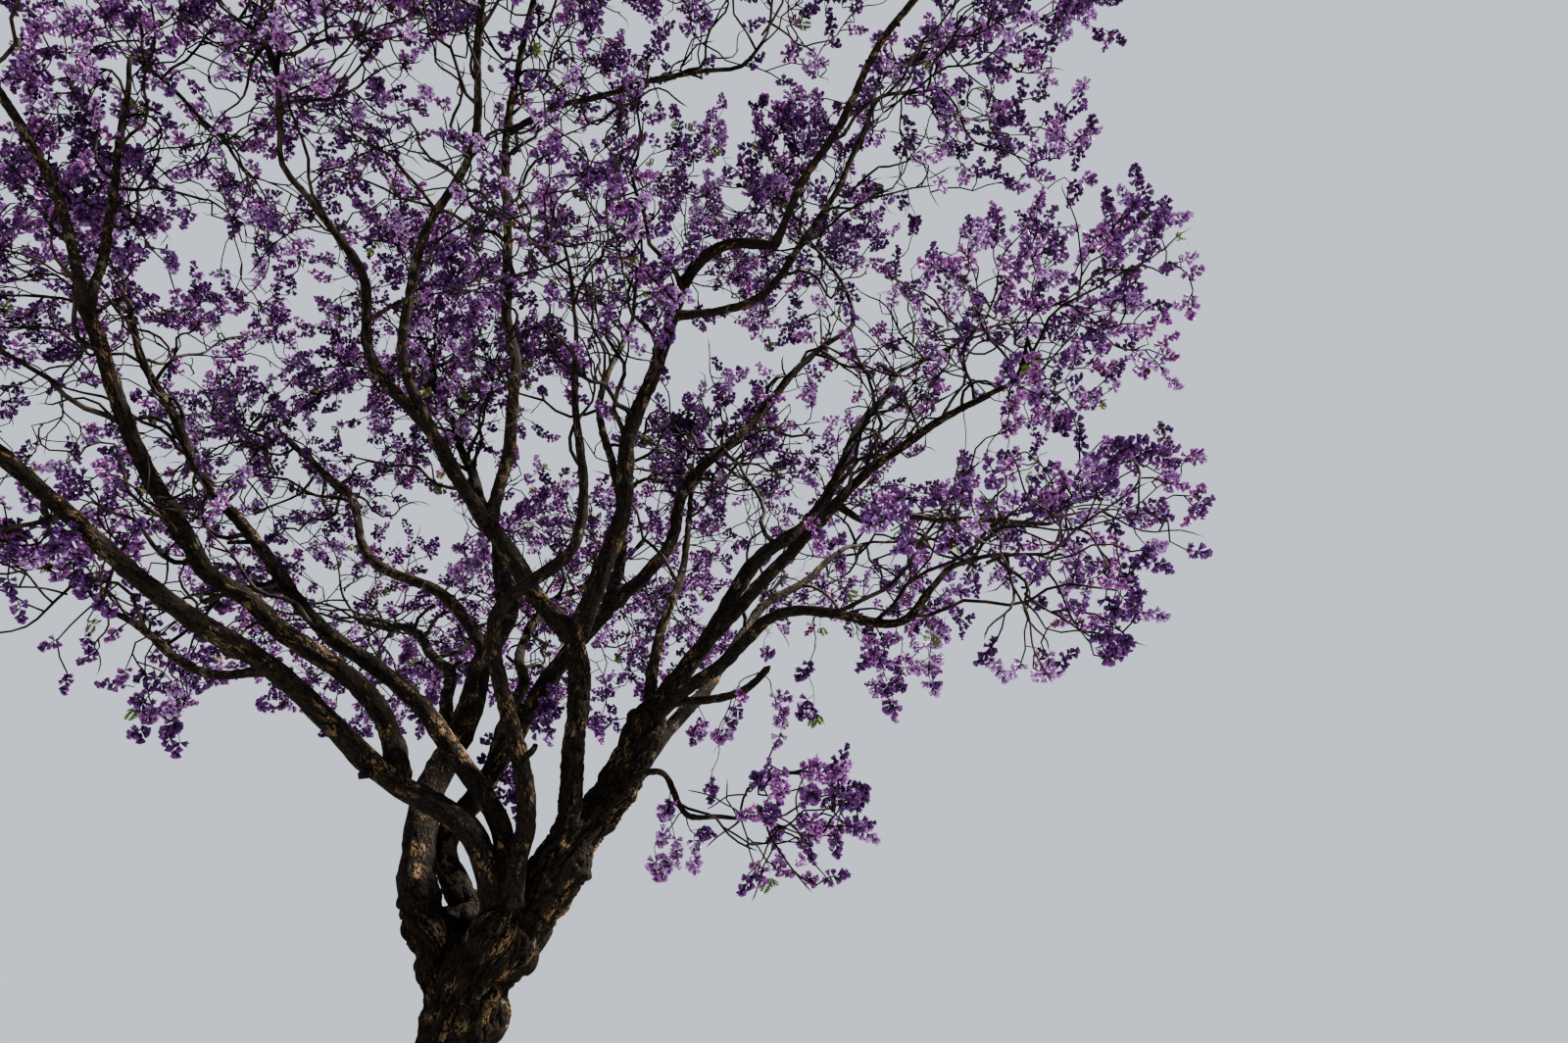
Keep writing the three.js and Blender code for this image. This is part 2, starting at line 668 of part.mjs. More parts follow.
function meshOf(name, solid) {
  const { vertProperties, triVerts } = solid.getMesh();
  const geometry = new THREE.BufferGeometry();
  geometry.setAttribute("position", new THREE.BufferAttribute(vertProperties, 3));
  geometry.setIndex(new THREE.BufferAttribute(triVerts, 1));
  const finish = name.startsWith("blossom") ? BLOSSOM : BARK;
  const mesh = new THREE.Mesh(geometry, new THREE.MeshStandardMaterial(finish));
  mesh.name = name;
  return mesh;
}

const tree = new THREE.Group();
for (const [name, solid] of pieces) tree.add(meshOf(name, solid));

export default tree;
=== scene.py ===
"""The looks of a jacaranda tree in blossom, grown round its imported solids.

The trunk and boughs get a skin with the relief of bark. The masses of blossom become stems, twigs,
sprigs and panicles of flowers that grow on from the limbs by the rule of the part's source. Metres.
"""

import json
import logging
import math
from collections.abc import Callable, Sequence
from dataclasses import dataclass
from enum import Enum

import bmesh
import bpy
import numpy as np
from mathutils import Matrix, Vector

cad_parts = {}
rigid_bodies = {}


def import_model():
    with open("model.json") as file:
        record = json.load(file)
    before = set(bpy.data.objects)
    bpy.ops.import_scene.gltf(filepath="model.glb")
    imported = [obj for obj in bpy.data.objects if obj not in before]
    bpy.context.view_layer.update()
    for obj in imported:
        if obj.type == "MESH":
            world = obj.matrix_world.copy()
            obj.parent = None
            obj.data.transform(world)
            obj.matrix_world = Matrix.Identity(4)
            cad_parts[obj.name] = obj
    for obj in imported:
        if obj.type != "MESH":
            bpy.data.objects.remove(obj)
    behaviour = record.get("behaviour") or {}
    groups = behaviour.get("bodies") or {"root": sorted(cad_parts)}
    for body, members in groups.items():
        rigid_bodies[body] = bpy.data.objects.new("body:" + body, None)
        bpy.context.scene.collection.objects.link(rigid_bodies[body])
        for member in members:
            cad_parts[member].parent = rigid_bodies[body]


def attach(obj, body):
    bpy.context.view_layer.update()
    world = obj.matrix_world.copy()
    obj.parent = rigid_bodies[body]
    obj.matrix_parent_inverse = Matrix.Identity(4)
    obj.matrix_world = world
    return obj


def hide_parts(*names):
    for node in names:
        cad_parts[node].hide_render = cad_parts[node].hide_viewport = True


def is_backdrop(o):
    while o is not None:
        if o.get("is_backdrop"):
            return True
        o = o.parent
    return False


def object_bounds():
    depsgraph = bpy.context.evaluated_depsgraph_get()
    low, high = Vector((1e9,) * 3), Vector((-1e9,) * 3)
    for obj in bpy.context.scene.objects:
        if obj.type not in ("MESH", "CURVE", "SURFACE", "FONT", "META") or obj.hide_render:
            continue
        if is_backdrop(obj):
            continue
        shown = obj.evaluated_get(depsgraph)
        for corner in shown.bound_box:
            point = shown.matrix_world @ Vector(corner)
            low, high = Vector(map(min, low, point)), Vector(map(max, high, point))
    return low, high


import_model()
CAD_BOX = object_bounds()

BODY = "root"
# The joint between solids, the least divisor, and how many points are worked on at a time
GAP = 0.0003
TINY = 1e-12
BLOCK = 4000
GOLDEN_ANGLE = math.pi * (3 - math.sqrt(5))
UP = np.array([0.0, 0.0, 1.0])

Array = np.ndarray
Draw = Callable[[], float]
Span = tuple[float, float]
Point = tuple[float, float, float]
Colour = tuple[float, float, float]
Piece = bpy.types.Object
Material = bpy.types.Material
Node = bpy.types.Node
Socket = bpy.types.NodeSocket

log = logging.getLogger("jacaranda")


class Slot(Enum):
    """The record's material slots."""

    BARK = "bark"
    BLOSSOM = "blossom"


# Sizes of the trunk and limbs, as in the part's source


@dataclass(frozen=True)
class TrunkSizes:
    """The clear trunk, from the ground to where its arms part."""

    height: float = 2.5
    lean: float = 0.115
    waist: float = 0.272
    swell: float = 0.1
    foot: float = 0.15
    flare: float = 0.3
    roots: int = 5
    ridge: float = 0.55

    def middle(self, height: Array) -> Array:
        """Gives the middle of the trunk at some heights."""
        return np.stack([self.lean * height, 0 * height, height], axis=-1)

    def radius(self, height: Array, angle: Array) -> Array:
        """Gives the trunk's radius at some heights and angles, with its root flare."""
        column = self.waist * (1 + self.swell * (1 - height / self.height))
        root = 1 + self.ridge * np.cos(self.roots * angle)
        return column + self.foot * root * np.exp(-np.maximum(height, 0) / self.flare)


@dataclass(frozen=True)
class LimbSizes:
    """A limb that leaves its parent at a distance and goes on in legs of heading, rise and length.

    An arm of the trunk has no parent, and leaves the trunk's middle at a height.
    """

    name: str
    parent: str
    at: float
    girth: float
    tip: float
    legs: tuple[Point, ...]


TRUNK = TrunkSizes()
ARMS = (
    LimbSizes("left_arm", "", 1.9, 0.215, 0.16, ((180, 72, 0.6), (185, 58, 0.46))),
    LimbSizes("front_arm", "", 2.0, 0.22, 0.165, ((-45, 62, 0.56), (-30, 58, 0.35))),
    LimbSizes("rear_arm", "", 2.1, 0.195, 0.135, ((110, 65, 0.52), (130, 75, 0.38))),
    LimbSizes("right_arm", "", 1.95, 0.245, 0.222, ((0, 65, 0.68), (-5, 58, 0.4))),
)
BOUGHS = (
    LimbSizes("left_upright", "left_arm", 0.96, 0.146, 0.044,
        ((160, 70, 0.4), (95, 65, 0.7), (75, 65, 1.7), (95, 55, 1.15), (130, 55, 3.35))),
    LimbSizes("left_inner", "left_upright", 2.8, 0.062, 0.034,
        ((175, 50, 0.85), (165, 30, 1.05), (135, 55, 1.05), (155, 40, 1.4))),
    LimbSizes("back_left", "left_upright", 1.5, 0.074, 0.036,
        ((110, 40, 2.0), (125, 30, 1.7), (130, 20, 1.5))),
    LimbSizes("left_low", "front_arm", 0.78, 0.108, 0.034,
        ((-145, 65, 0.7), (-160, 35, 0.7), (-140, 30, 1.3), (-145, 30, 2.0), (-168, 40, 2.7))),
    LimbSizes("left_under", "left_low", 2.7, 0.042, 0.028, ((170, 5, 0.6), (165, 30, 0.95))),
    LimbSizes("left_rising", "left_low", 1.4, 0.092, 0.056,
        ((150, 60, 0.65), (-165, 40, 1.45), (-160, 25, 0.55), (-115, 48, 2.25))),
    LimbSizes("left_tall_front", "left_rising", 4.84, 0.046, 0.03,
        ((-130, 65, 0.9), (-110, 33, 1.9))),
    LimbSizes("left_tall_back", "left_rising", 4.78, 0.044, 0.028,
        ((135, 75, 1.15), (155, 80, 1.55))),
    LimbSizes("left_middle", "front_arm", 0.86, 0.092, 0.034,
        ((-155, 80, 0.8), (-175, 50, 1.0), (168, 40, 1.95), (170, 50, 2.75), (170, 60, 1.25))),
    LimbSizes("centre", "front_arm", 0.88, 0.088, 0.024,
        ((-65, 65, 0.8), (-110, 65, 1.5), (-20, 45, 0.85), (-100, 80, 1.6))),
    LimbSizes("mid_upright", "right_arm", 0.96, 0.098, 0.088,
        ((-30, 65, 0.95), (-80, 75, 0.65), (-115, 75, 0.7))),
    LimbSizes("mid_left", "mid_upright", 2.25, 0.082, 0.074, ((-160, 50, 0.65), (-150, 45, 0.6))),
    LimbSizes("mid_top", "mid_left", 1.21, 0.058, 0.03,
        ((-20, 85, 1.5), (-160, 75, 0.7), (-100, 80, 2.25), (-60, 70, 0.7))),
    LimbSizes("mid_top_side", "mid_top", 3.95, 0.034, 0.024, ((0, 35, 0.7), (-5, 12, 1.35))),
    LimbSizes("mid_left_arch", "mid_left", 1.2, 0.068, 0.034,
        ((-150, 50, 0.95), (-155, 50, 0.75), (-135, 70, 0.75), (-145, 50, 0.8))),
    LimbSizes("mid_left_fork", "mid_left_arch", 0.96, 0.046, 0.028,
        ((-130, 60, 0.75), (-70, 60, 0.7), (-45, 50, 1.05), (-75, 30, 1.7))),
    LimbSizes("right_arch", "mid_upright", 2.26, 0.085, 0.044,
        ((-35, 65, 1.0), (-65, 80, 0.85), (-25, 70, 1.15), (-30, 55, 0.75), (-25, -15, 0.65))),
    LimbSizes("right_arch_top", "right_arch", 4.35, 0.038, 0.027, ((-55, 40, 0.95), (-60, 15, 1.9))),
    LimbSizes("right_arch_side", "right_arch", 3.02, 0.042, 0.026,
        ((10, 20, 0.8), (-5, 55, 0.85), (-10, 65, 1.4))),
    LimbSizes("rear", "rear_arm", 0.82, 0.108, 0.076,
        ((155, 60, 0.65), (30, 55, 0.55), (20, 70, 1.05), (-10, 50, 1.05))),
    LimbSizes("rear_right", "rear", 3.25, 0.068, 0.034,
        ((0, 50, 0.85), (0, 75, 0.6), (10, 55, 0.9), (10, 52, 1.4))),
    LimbSizes("back_top", "rear", 3.24, 0.062, 0.032,
        ((90, 65, 1.5), (130, 65, 1.55), (50, 75, 1.3))),
    LimbSizes("back_middle", "rear", 1.05, 0.072, 0.034,
        ((85, 50, 1.65), (100, 45, 1.7), (70, 40, 2.2))),
    LimbSizes("right_main", "right_arm", 0.98, 0.205, 0.14, ((0, 55, 0.85), (0, 66, 1.1))),
    LimbSizes("right_upper", "right_main", 1.84, 0.088, 0.032,
        ((0, 58, 0.9), (5, 58, 0.75), (18, 45, 0.7), (32, 62, 1.25), (40, 55, 0.85))),
    LimbSizes("right_outer", "right_upper", 0.9, 0.066, 0.03,
        ((-30, 35, 0.75), (-5, 50, 0.65), (5, 50, 0.8), (-10, 30, 1.3))),
    LimbSizes("right_mid", "right_outer", 1.65, 0.036, 0.024,
        ((-10, -35, 0.35), (-10, 10, 0.35), (0, -5, 1.05))),
    LimbSizes("right_shoulder", "right_main", 1.8, 0.056, 0.03,
        ((85, 75, 0.9), (62, 65, 0.95), (85, 75, 0.6))),
    LimbSizes("right_lower", "right_main", 1.78, 0.066, 0.028,
        ((-45, 20, 0.75), (-40, 25, 0.85), (-35, -15, 1.15), (-35, 35, 0.4))),
    LimbSizes("right_stub", "right_lower", 0.33, 0.04, 0.03, ((-22, 2, 0.64), (0, 42, 0.33))),
    LimbSizes("right_sprig", "right_main", 1.15, 0.034, 0.02,
        ((-45, 5, 0.62), (-40, -50, 0.45), (-30, -10, 0.35))),
    LimbSizes("back_right", "right_main", 0.9, 0.078, 0.036,
        ((55, 45, 1.7), (65, 45, 2.0), (50, 40, 1.95))),
)


@dataclass(frozen=True)
class MassSizes:
    """A mass of blossom: the bough that carries it, and the middle and radius of its space.

    Its twigs rise where lift is over 0, and hang where it is below. Full is how dense its fine
    branches stand, for the rule's own density.
    """

    name: str
    on: str
    middle: Point
    radius: float
    lift: float
    full: float = 1.0


MASSES = (
    MassSizes("left_low", "left_low", (-5.25, -2.7, 7.7), 1.7, 0.45, 0.72),
    MassSizes("left_under", "left_under", (-3.3, -0.7, 5.6), 1.4, 0.1, 0.65),
    MassSizes("left_front", "left_tall_front", (-3.3, -4.7, 9.2), 1.95, 0.45, 0.45),
    MassSizes("left_high", "left_tall_back", (-3.0, -0.6, 10.4), 2.15, -0.2, 1.12),
    MassSizes("left_middle", "left_middle", (-4.8, 0.7, 9.0), 1.95, 0.2, 0.9),
    MassSizes("left_inner", "left_inner", (-3.8, 2.8, 8.4), 1.9, 0.15, 0.95),
    MassSizes("left_upright", "left_upright", (-2.2, 3.2, 10.3), 2.05, 0.0, 1.3),
    MassSizes("back_left", "back_left", (-3.0, 5.0, 7.3), 1.85, 0.0),
    MassSizes("back", "back_middle", (0.5, 4.8, 7.5), 2.1, 0.0),
    MassSizes("back_right", "back_right", (3.9, 4.2, 7.9), 1.95, 0.0, 0.85),
    MassSizes("back_top", "back_top", (1.0, 1.8, 11.4), 1.9, 0.2),
    MassSizes("centre", "centre", (0.9, -2.3, 8.0), 1.3, 0.2, 0.8),
    MassSizes("top", "mid_top", (0.2, -1.3, 12.0), 1.75, 0.3, 1.2),
    MassSizes("top_right", "mid_top_side", (2.8, -1.6, 11.6), 1.6, 0.2, 0.7),
    MassSizes("top_left", "mid_left_arch", (-1.5, -2.9, 10.0), 1.75, 0.45, 0.95),
    MassSizes("front", "mid_left_fork", (0.9, -4.9, 9.9), 2.0, 0.45, 1.1),
    MassSizes("front_right", "right_arch_top", (4.1, -4.4, 9.4), 1.9, 0.45, 0.36),
    MassSizes("right_high", "right_arch_side", (4.5, -1.2, 10.5), 1.6, 0.2, 0.85),
    MassSizes("right_inner", "rear_right", (2.9, 1.1, 10.8), 1.5, 0.3, 1.35),
    MassSizes("right_upper", "right_upper", (5.0, 1.3, 9.3), 1.75, 0.45, 0.7),
    MassSizes("right_outer", "right_outer", (5.05, -0.8, 7.95), 1.65, 0.3, 0.9),
    MassSizes("right_mid", "right_mid", (5.4, -0.1, 6.3), 1.25, -0.05, 0.4),
    MassSizes("right_low", "right_lower", (4.5, -2.1, 5.1), 1.25, -0.1, 0.46),
    MassSizes("right_shoulder", "right_shoulder", (2.0, 1.3, 7.8), 1.3, 0.3, 0.85),
    MassSizes("right_sprig", "right_sprig", (2.68, -1.0, 3.4), 0.78, 0.0, 0.6),
)
MASS_NODES = tuple(f"blossom_{mass.name}" for mass in MASSES)


@dataclass(frozen=True)
class BoughRule:
    """How boughs bend, sway and swell, as in the part's source."""

    seed: int = 7
    seed_step: int = 11
    step: float = 0.66
    wave: float = 1.5
    sway: float = 0.02
    sway_share: float = 0.35
    cross_wave: float = 0.7
    way_reach: float = 0.01
    collar: float = 0.3
    collar_reach: float = 2.0


@dataclass(frozen=True)
class MassRule:
    """How a mass branches into a stem, twigs and shoots, as in the part's source.

    Least, shoot_reach and cluster are for the radius of its space. The girths of stem and twigs are
    for the radius of the bough's tip, a shoot's for a twig's, and the belly for a cluster's length.
    """

    seed: int = 1000
    seed_step: int = 97
    flat: float = 0.86
    keep: float = 0.012
    clear: float = 0.025
    near_end: float = 0.25
    tries: int = 8
    halvings: int = 14
    shift: float = 0.7
    lift: float = 0.35
    reach: float = 0.97
    least: float = 0.12
    kink: float = 0.25
    apart: float = 0.8
    stem_step: float = 0.45
    stem_girth: float = 0.92
    stem_tip: float = 0.47
    stem_runs: float = 0.8
    stem_straight: float = 0.35
    twigs: int = 5
    twig_sides: int = 3
    twig_steps: int = 2
    twig_first: float = 0.35
    twig_girth: float = 0.55
    shoots: int = 2
    shoot_first: float = 0.4
    shoot_over: float = 0.4
    shoot_girth: float = 0.7
    shoot_angle: Span = (50, 75)
    shoot_reach: Span = (0.58, 0.94)
    cluster: Span = (0.39, 0.53)
    cluster_on_shoot: float = 0.85
    belly: float = 0.34
    belly_at: float = 0.45
    heart: Point = (0, 0, 5.0)


BOUGH = BoughRule()
RULE = MassRule()


# Lines, limbs and spaces


def seeded(seed: int) -> Draw:
    """Makes a source of numbers from 0 to 1 that are the same on every run.

    Args:
        seed: A whole number over 0.

    Returns:
        A function that gives the next number.
    """
    factor, modulus = 16807, 2147483647
    state = seed

    def draw() -> float:
        """Gives the next number."""
        nonlocal state
        state = state * factor % modulus
        return state / modulus

    return draw


def pick(bounds: Span, draw: Draw) -> float:
    """Draws a number between two bounds."""
    return bounds[0] + (bounds[1] - bounds[0]) * draw()


def unit(vectors: Array) -> Array:
    """Gives vectors the length 1."""
    return vectors / np.maximum(np.linalg.norm(vectors, axis=-1, keepdims=True), TINY)


def toward(heading: float, rise: float) -> Array:
    """Gives the direction of a heading and a rise in degrees. Heading 0 is +X and 90 is +Y."""
    around, up = math.radians(heading), math.radians(rise)
    return np.array([math.cos(up) * math.cos(around), math.cos(up) * math.sin(around), math.sin(up)])


def across_of(ways: Array) -> tuple[Array, Array]:
    """Finds two directions square to each way and to each other.

    Args:
        ways: Unit vectors in the last axis.

    Returns:
        Two arrays of the same shape.
    """
    steepest = 0.9
    steep = np.abs(ways[..., 2:]) >= steepest
    side = unit(np.cross(ways, np.where(steep, np.array([1.0, 0.0, 0.0]), UP)))
    return side, np.cross(ways, side)


def turned(ways: Array, angle: Array, roll: Array) -> Array:
    """Turns each way by an angle from itself, about itself by a roll, in radians.

    Args:
        ways: Unit vectors in the last axis.
        angle: The angle of each.
        roll: The roll of each.

    Returns:
        The new unit vectors.
    """
    side, up = across_of(ways)
    angle, roll = np.asarray(angle)[..., None], np.asarray(roll)[..., None]
    around = side * np.cos(roll) + up * np.sin(roll)
    return ways * np.cos(angle) + around * np.sin(angle)


def carried_frames(ways: Array) -> tuple[Array, Array]:
    """Carries a cross-direction along each path without twist.

    Args:
        ways: Unit vectors of shape (paths, stations, 3).

    Returns:
        The first and second cross-directions at each station.
    """
    first = np.empty_like(ways)
    first[:, 0] = across_of(ways[:, 0])[0]
    for i in range(1, ways.shape[1]):
        before, way = first[:, i - 1], ways[:, i]
        first[:, i] = unit(before - way * np.sum(before * way, axis=-1, keepdims=True))
    return first, np.cross(ways, first)


class Line:
    """A smooth line through joints, which sways to both sides and rests at its two ends."""

    def __init__(self, joints: Sequence[Array], sway: float, wave: float, draw: Draw) -> None:
        """Sets the line through its joints.

        Args:
            joints: The points that it passes.
            sway: How far it sways to a side.
            wave: The length of one sway.
            draw: Source of the phases of its sway.
        """
        self.joints = np.array(joints, float)
        self.sway = sway
        self.wave = wave
        steps = np.diff(self.joints, axis=0)
        self.legs = np.linalg.norm(steps, axis=1)
        self.ends = np.concatenate([[0], np.cumsum(self.legs)])
        self.length = float(self.ends[-1])
        last = len(self.joints) - 1
        ahead = self.joints[np.minimum(np.arange(last + 1) + 1, last)]
        behind = self.joints[np.maximum(np.arange(last + 1) - 1, 0)]
        self.ways = unit(ahead - behind)
        self.phases = (draw() * 2 * math.pi, draw() * 2 * math.pi)
        self.across = across_of(unit(self.joints[-1] - self.joints[0]))

    def plain(self, distances: Array) -> Array:
        """Gives the points at some distances from the start, before the sway.

        Args:
            distances: The distances.

        Returns:
            The points.
        """
        leg = np.clip(np.searchsorted(self.ends, distances, side="left") - 1, 0, len(self.legs) - 1)
        size = self.legs[leg][:, None]
        t = (distances - self.ends[leg])[:, None] / size
        start = (2 * t**3 - 3 * t**2 + 1) * self.joints[leg]
        leaving = (t**3 - 2 * t**2 + t) * size * self.ways[leg]
        end = (3 * t**2 - 2 * t**3) * self.joints[leg + 1]
        arriving = (t**3 - t**2) * size * self.ways[leg + 1]
        return start + leaving + end + arriving

    def points(self, distances: Array) -> Array:
        """Gives the points at some distances from the start.

        Args:
            distances: The distances.

        Returns:
            The points.
        """
        distances = np.asarray(distances, float)
        turn = 2 * math.pi * distances / self.wave
        near_end = np.minimum(distances, self.length - distances)
        reach = self.sway * np.clip(2 * near_end / self.wave, 0, 1)
        aside = (reach * np.sin(turn + self.phases[0]))[:, None] * self.across[0]
        above = (reach * np.sin(BOUGH.cross_wave * turn + self.phases[1]))[:, None] * self.across[1]
        return self.plain(distances) + aside + above

    def point(self, distance: float) -> Array:
        """Gives one point."""
        return self.points(np.array([distance]))[0]

    def ways_at(self, distances: Array) -> Array:
        """Gives the directions at some distances from the start.

        Args:
            distances: The distances.

        Returns:
            The directions.
        """
        reach = self.length * BOUGH.way_reach
        ahead = np.minimum(self.length, np.asarray(distances, float) + reach)
        behind = np.maximum(0, np.asarray(distances, float) - reach)
        return unit(self.points(ahead) - self.points(behind))

    def way(self, distance: float) -> Array:
        """Gives one direction."""
        return self.ways_at(np.array([distance]))[0]

    def on_steps(self, steps: int, share: float) -> Array:
        """Gives the point at a share of the way along the line when it is run in straight steps."""
        step = min(int(share * steps), steps - 1)
        start, end = self.points(self.length * np.array([step, step + 1]) / steps)
        return start + (end - start) * (share * steps - step)


class Limb:
    """An arm or bough: its line and its radius along it."""

    def __init__(self, sizes: LimbSizes, start: Array, seed: int) -> None:
        """Runs the limb's line from its start through its legs.

        Args:
            sizes: The limb's sizes.
            start: Where it leaves its parent's middle.
            seed: Seed of its sway.
        """
        self.sizes = sizes
        joints = [start]
        for heading, rise, length in sizes.legs:
            joints.append(joints[-1] + toward(heading, rise) * length)
        sway = BOUGH.sway + BOUGH.sway_share * sizes.tip
        self.line = Line(joints, sway, BOUGH.wave, seeded(seed))

    def radius(self, distances: Array) -> Array:
        """Gives the radius at some distances from the start."""
        girth, tip = self.sizes.girth, self.sizes.tip
        collar = BOUGH.collar * np.exp(-distances / (BOUGH.collar_reach * girth))
        return tip + (girth - tip) * (1 - distances / self.line.length) + tip * collar


def grown_limbs() -> dict[str, Limb]:
    """Grows the arms and boughs in the source's order.

    Returns:
        Each limb by its name, parents first.
    """
    limbs: dict[str, Limb] = {}
    seed = BOUGH.seed
    for sizes in ARMS + BOUGHS:
        seed += BOUGH.seed_step
        if sizes.parent:
            start = limbs[sizes.parent].line.point(sizes.at)
        else:
            start = TRUNK.middle(np.array(sizes.at))
        limbs[sizes.name] = Limb(sizes, start, seed)
    return limbs


class Stretches:
    """Short straight stretches of all the limbs, for keeping twigs clear of them."""

    def __init__(self, limbs: dict[str, Limb]) -> None:
        """Cuts each limb into stretches.

        Args:
            limbs: All limbs by name.
        """
        starts, ends, radii, to_end, names = [], [], [], [], []
        for name, limb in limbs.items():
            count = math.ceil(limb.line.length / (BOUGH.step / 2))
            marks = limb.line.length * np.arange(count + 1) / count
            points = limb.line.points(marks)
            starts.append(points[:-1])
            ends.append(points[1:])
            radii.append(limb.radius(marks[:-1]))
            to_end.append(limb.line.length - marks[1:])
            names += [name] * count
        self.starts, self.ends = np.concatenate(starts), np.concatenate(ends)
        self.radii, self.to_end = np.concatenate(radii), np.concatenate(to_end)
        self.names = np.array(names)

    def clear_of(self, start: Array, end: Array, radius: float, own: str) -> bool:
        """Tells whether a straight stretch is clear of the limbs.

        Args:
            start: Its start.
            end: Its end.
            radius: Its radius.
            own: The limb whose own end it may touch.

        Returns:
            True if it is clear.
        """
        gaps = apart_from(start, end, self.starts, self.ends)
        exempt = (self.names == own) & (self.to_end < RULE.near_end)
        return bool(np.all(exempt | (gaps > self.radii + radius + RULE.clear)))

    def bare(self, points: Array, room: float) -> Array:
        """Tells which points lie at least some room away from every limb's surface.

        Args:
            points: Points of shape (n, 3).
            room: The least distance from the bark.

        Returns:
            One truth value for each point.
        """
        whole = self.ends - self.starts
        squares = np.sum(whole**2, axis=-1)
        found = np.ones(len(points), bool)
        for first in range(0, len(points), BLOCK):
            some = slice(first, first + BLOCK)
            offset = points[some, None] - self.starts
            share = np.clip(np.sum(offset * whole, axis=-1) / squares, 0, 1)
            gap = np.linalg.norm(offset - share[..., None] * whole, axis=-1)
            found[some] = np.all(gap > self.radii + room, axis=1)
        return found


def apart_from(a: Array, b: Array, c: Array, d: Array) -> Array:
    """Measures the least distance between one straight stretch and many.

    Args:
        a: Start of the one stretch.
        b: End of the one stretch.
        c: Starts of the others, of shape (n, 3).
        d: Ends of the others.

    Returns:
        The distance to each of the others.
    """
    parallel = 1e-15
    one, two, gap = b - a, d - c, a - c
    one_square, two_square = one @ one, np.sum(two**2, axis=-1)
    dot, two_gap = two @ one, np.sum(two * gap, axis=-1)
    square = one_square * two_square - dot**2
    with np.errstate(divide="ignore", invalid="ignore"):
        s = np.where(square > parallel, (dot * two_gap - two_square * (gap @ one)) / square, 0)
    s = np.clip(s, 0, 1)
    t = np.clip((dot * s + two_gap) / two_square, 0, 1)
    s = np.clip((dot * t - gap @ one) / one_square, 0, 1)
    return np.linalg.norm((a + s[:, None] * one) - (c + t[:, None] * two), axis=-1)


class Spaces:
    """The masses' own spaces: flattened balls, each cut off where its neighbours' begin."""

    def __init__(self) -> None:
        """Places the balls where they are round."""
        self.middles = self.rounded(np.array([mass.middle for mass in MASSES]))
        self.radii = np.array([mass.radius for mass in MASSES])
        self.outward = unit(np.array([mass.middle for mass in MASSES]) - np.array(RULE.heart))
        self.apart = np.linalg.norm(self.middles[:, None] - self.middles, axis=-1)
        np.fill_diagonal(self.apart, 1)

    @staticmethod
    def rounded(points: Array) -> Array:
        """Moves points to where the flattened balls are round."""
        return points / np.array([1, 1, RULE.flat])

    def powers(self, points: Array) -> Array:
        """Gives each point's power in each ball."""
        offset = self.rounded(points)[..., None, :] - self.middles
        return np.sum(offset**2, axis=-1) - self.radii**2

    def depth(self, index: Array, points: Array, inward: Array | None = None) -> Array:
        """Measures how far points lie inside their own mass's space.

        Args:
            index: The mass of each point, which may leave out the points' last axes.
            points: Points in the last axis.
            inward: How much farther each space goes toward the heart of the crown.

        Returns:
            The depth of each point, below 0 outside the space.
        """
        powers = self.powers(points)
        missing = (1,) * (powers.ndim - 1 - np.ndim(index))
        index = np.broadcast_to(np.reshape(index, np.shape(index) + missing), powers.shape[:-1])
        own = np.take_along_axis(powers, index[..., None], axis=-1)
        walls = (powers - own) / (2 * self.apart[index])
        np.put_along_axis(walls, index[..., None], np.inf, axis=-1)
        radius = self.radii[index]
        ball = radius - np.sqrt(np.maximum(own[..., 0] + radius**2, 0))
        if inward is not None:
            offset = unit(self.rounded(points) - self.middles[index])
            back = np.clip(-np.sum(offset * self.outward[index], axis=-1), 0, 1)
            ball = ball + inward[index] * back
        return np.minimum(ball, walls.min(axis=-1))

    def under_crown(self, points: Array) -> Array:
        """Measures how far points lie under the outside of the whole crown, seen from its heart.

        Args:
            points: Points of shape (n, 3).

        Returns:
            The depth of each.
        """
        heart = self.rounded(np.array(RULE.heart))
        offset = self.rounded(points) - heart
        reach = np.linalg.norm(offset, axis=-1)
        middles = self.middles - heart
        along = unit(offset) @ middles.T
        square = self.radii**2 - np.sum(middles**2, axis=-1) + along**2
        outside = np.where(square > 0, along + np.sqrt(np.maximum(square, 0)), 0)
        return outside.max(axis=-1) - reach

    def home(self, points: Array) -> Array:
        """Names the mass in whose space each point lies deepest."""
        return np.argmin(self.powers(points), axis=-1)


@dataclass(frozen=True)
class Runner:
    """A stem, twig or shoot of a mass, with the end of the cluster that the source puts on it."""

    joints: tuple[Array, ...]
    girth: float
    tip: float
    is_stem: bool


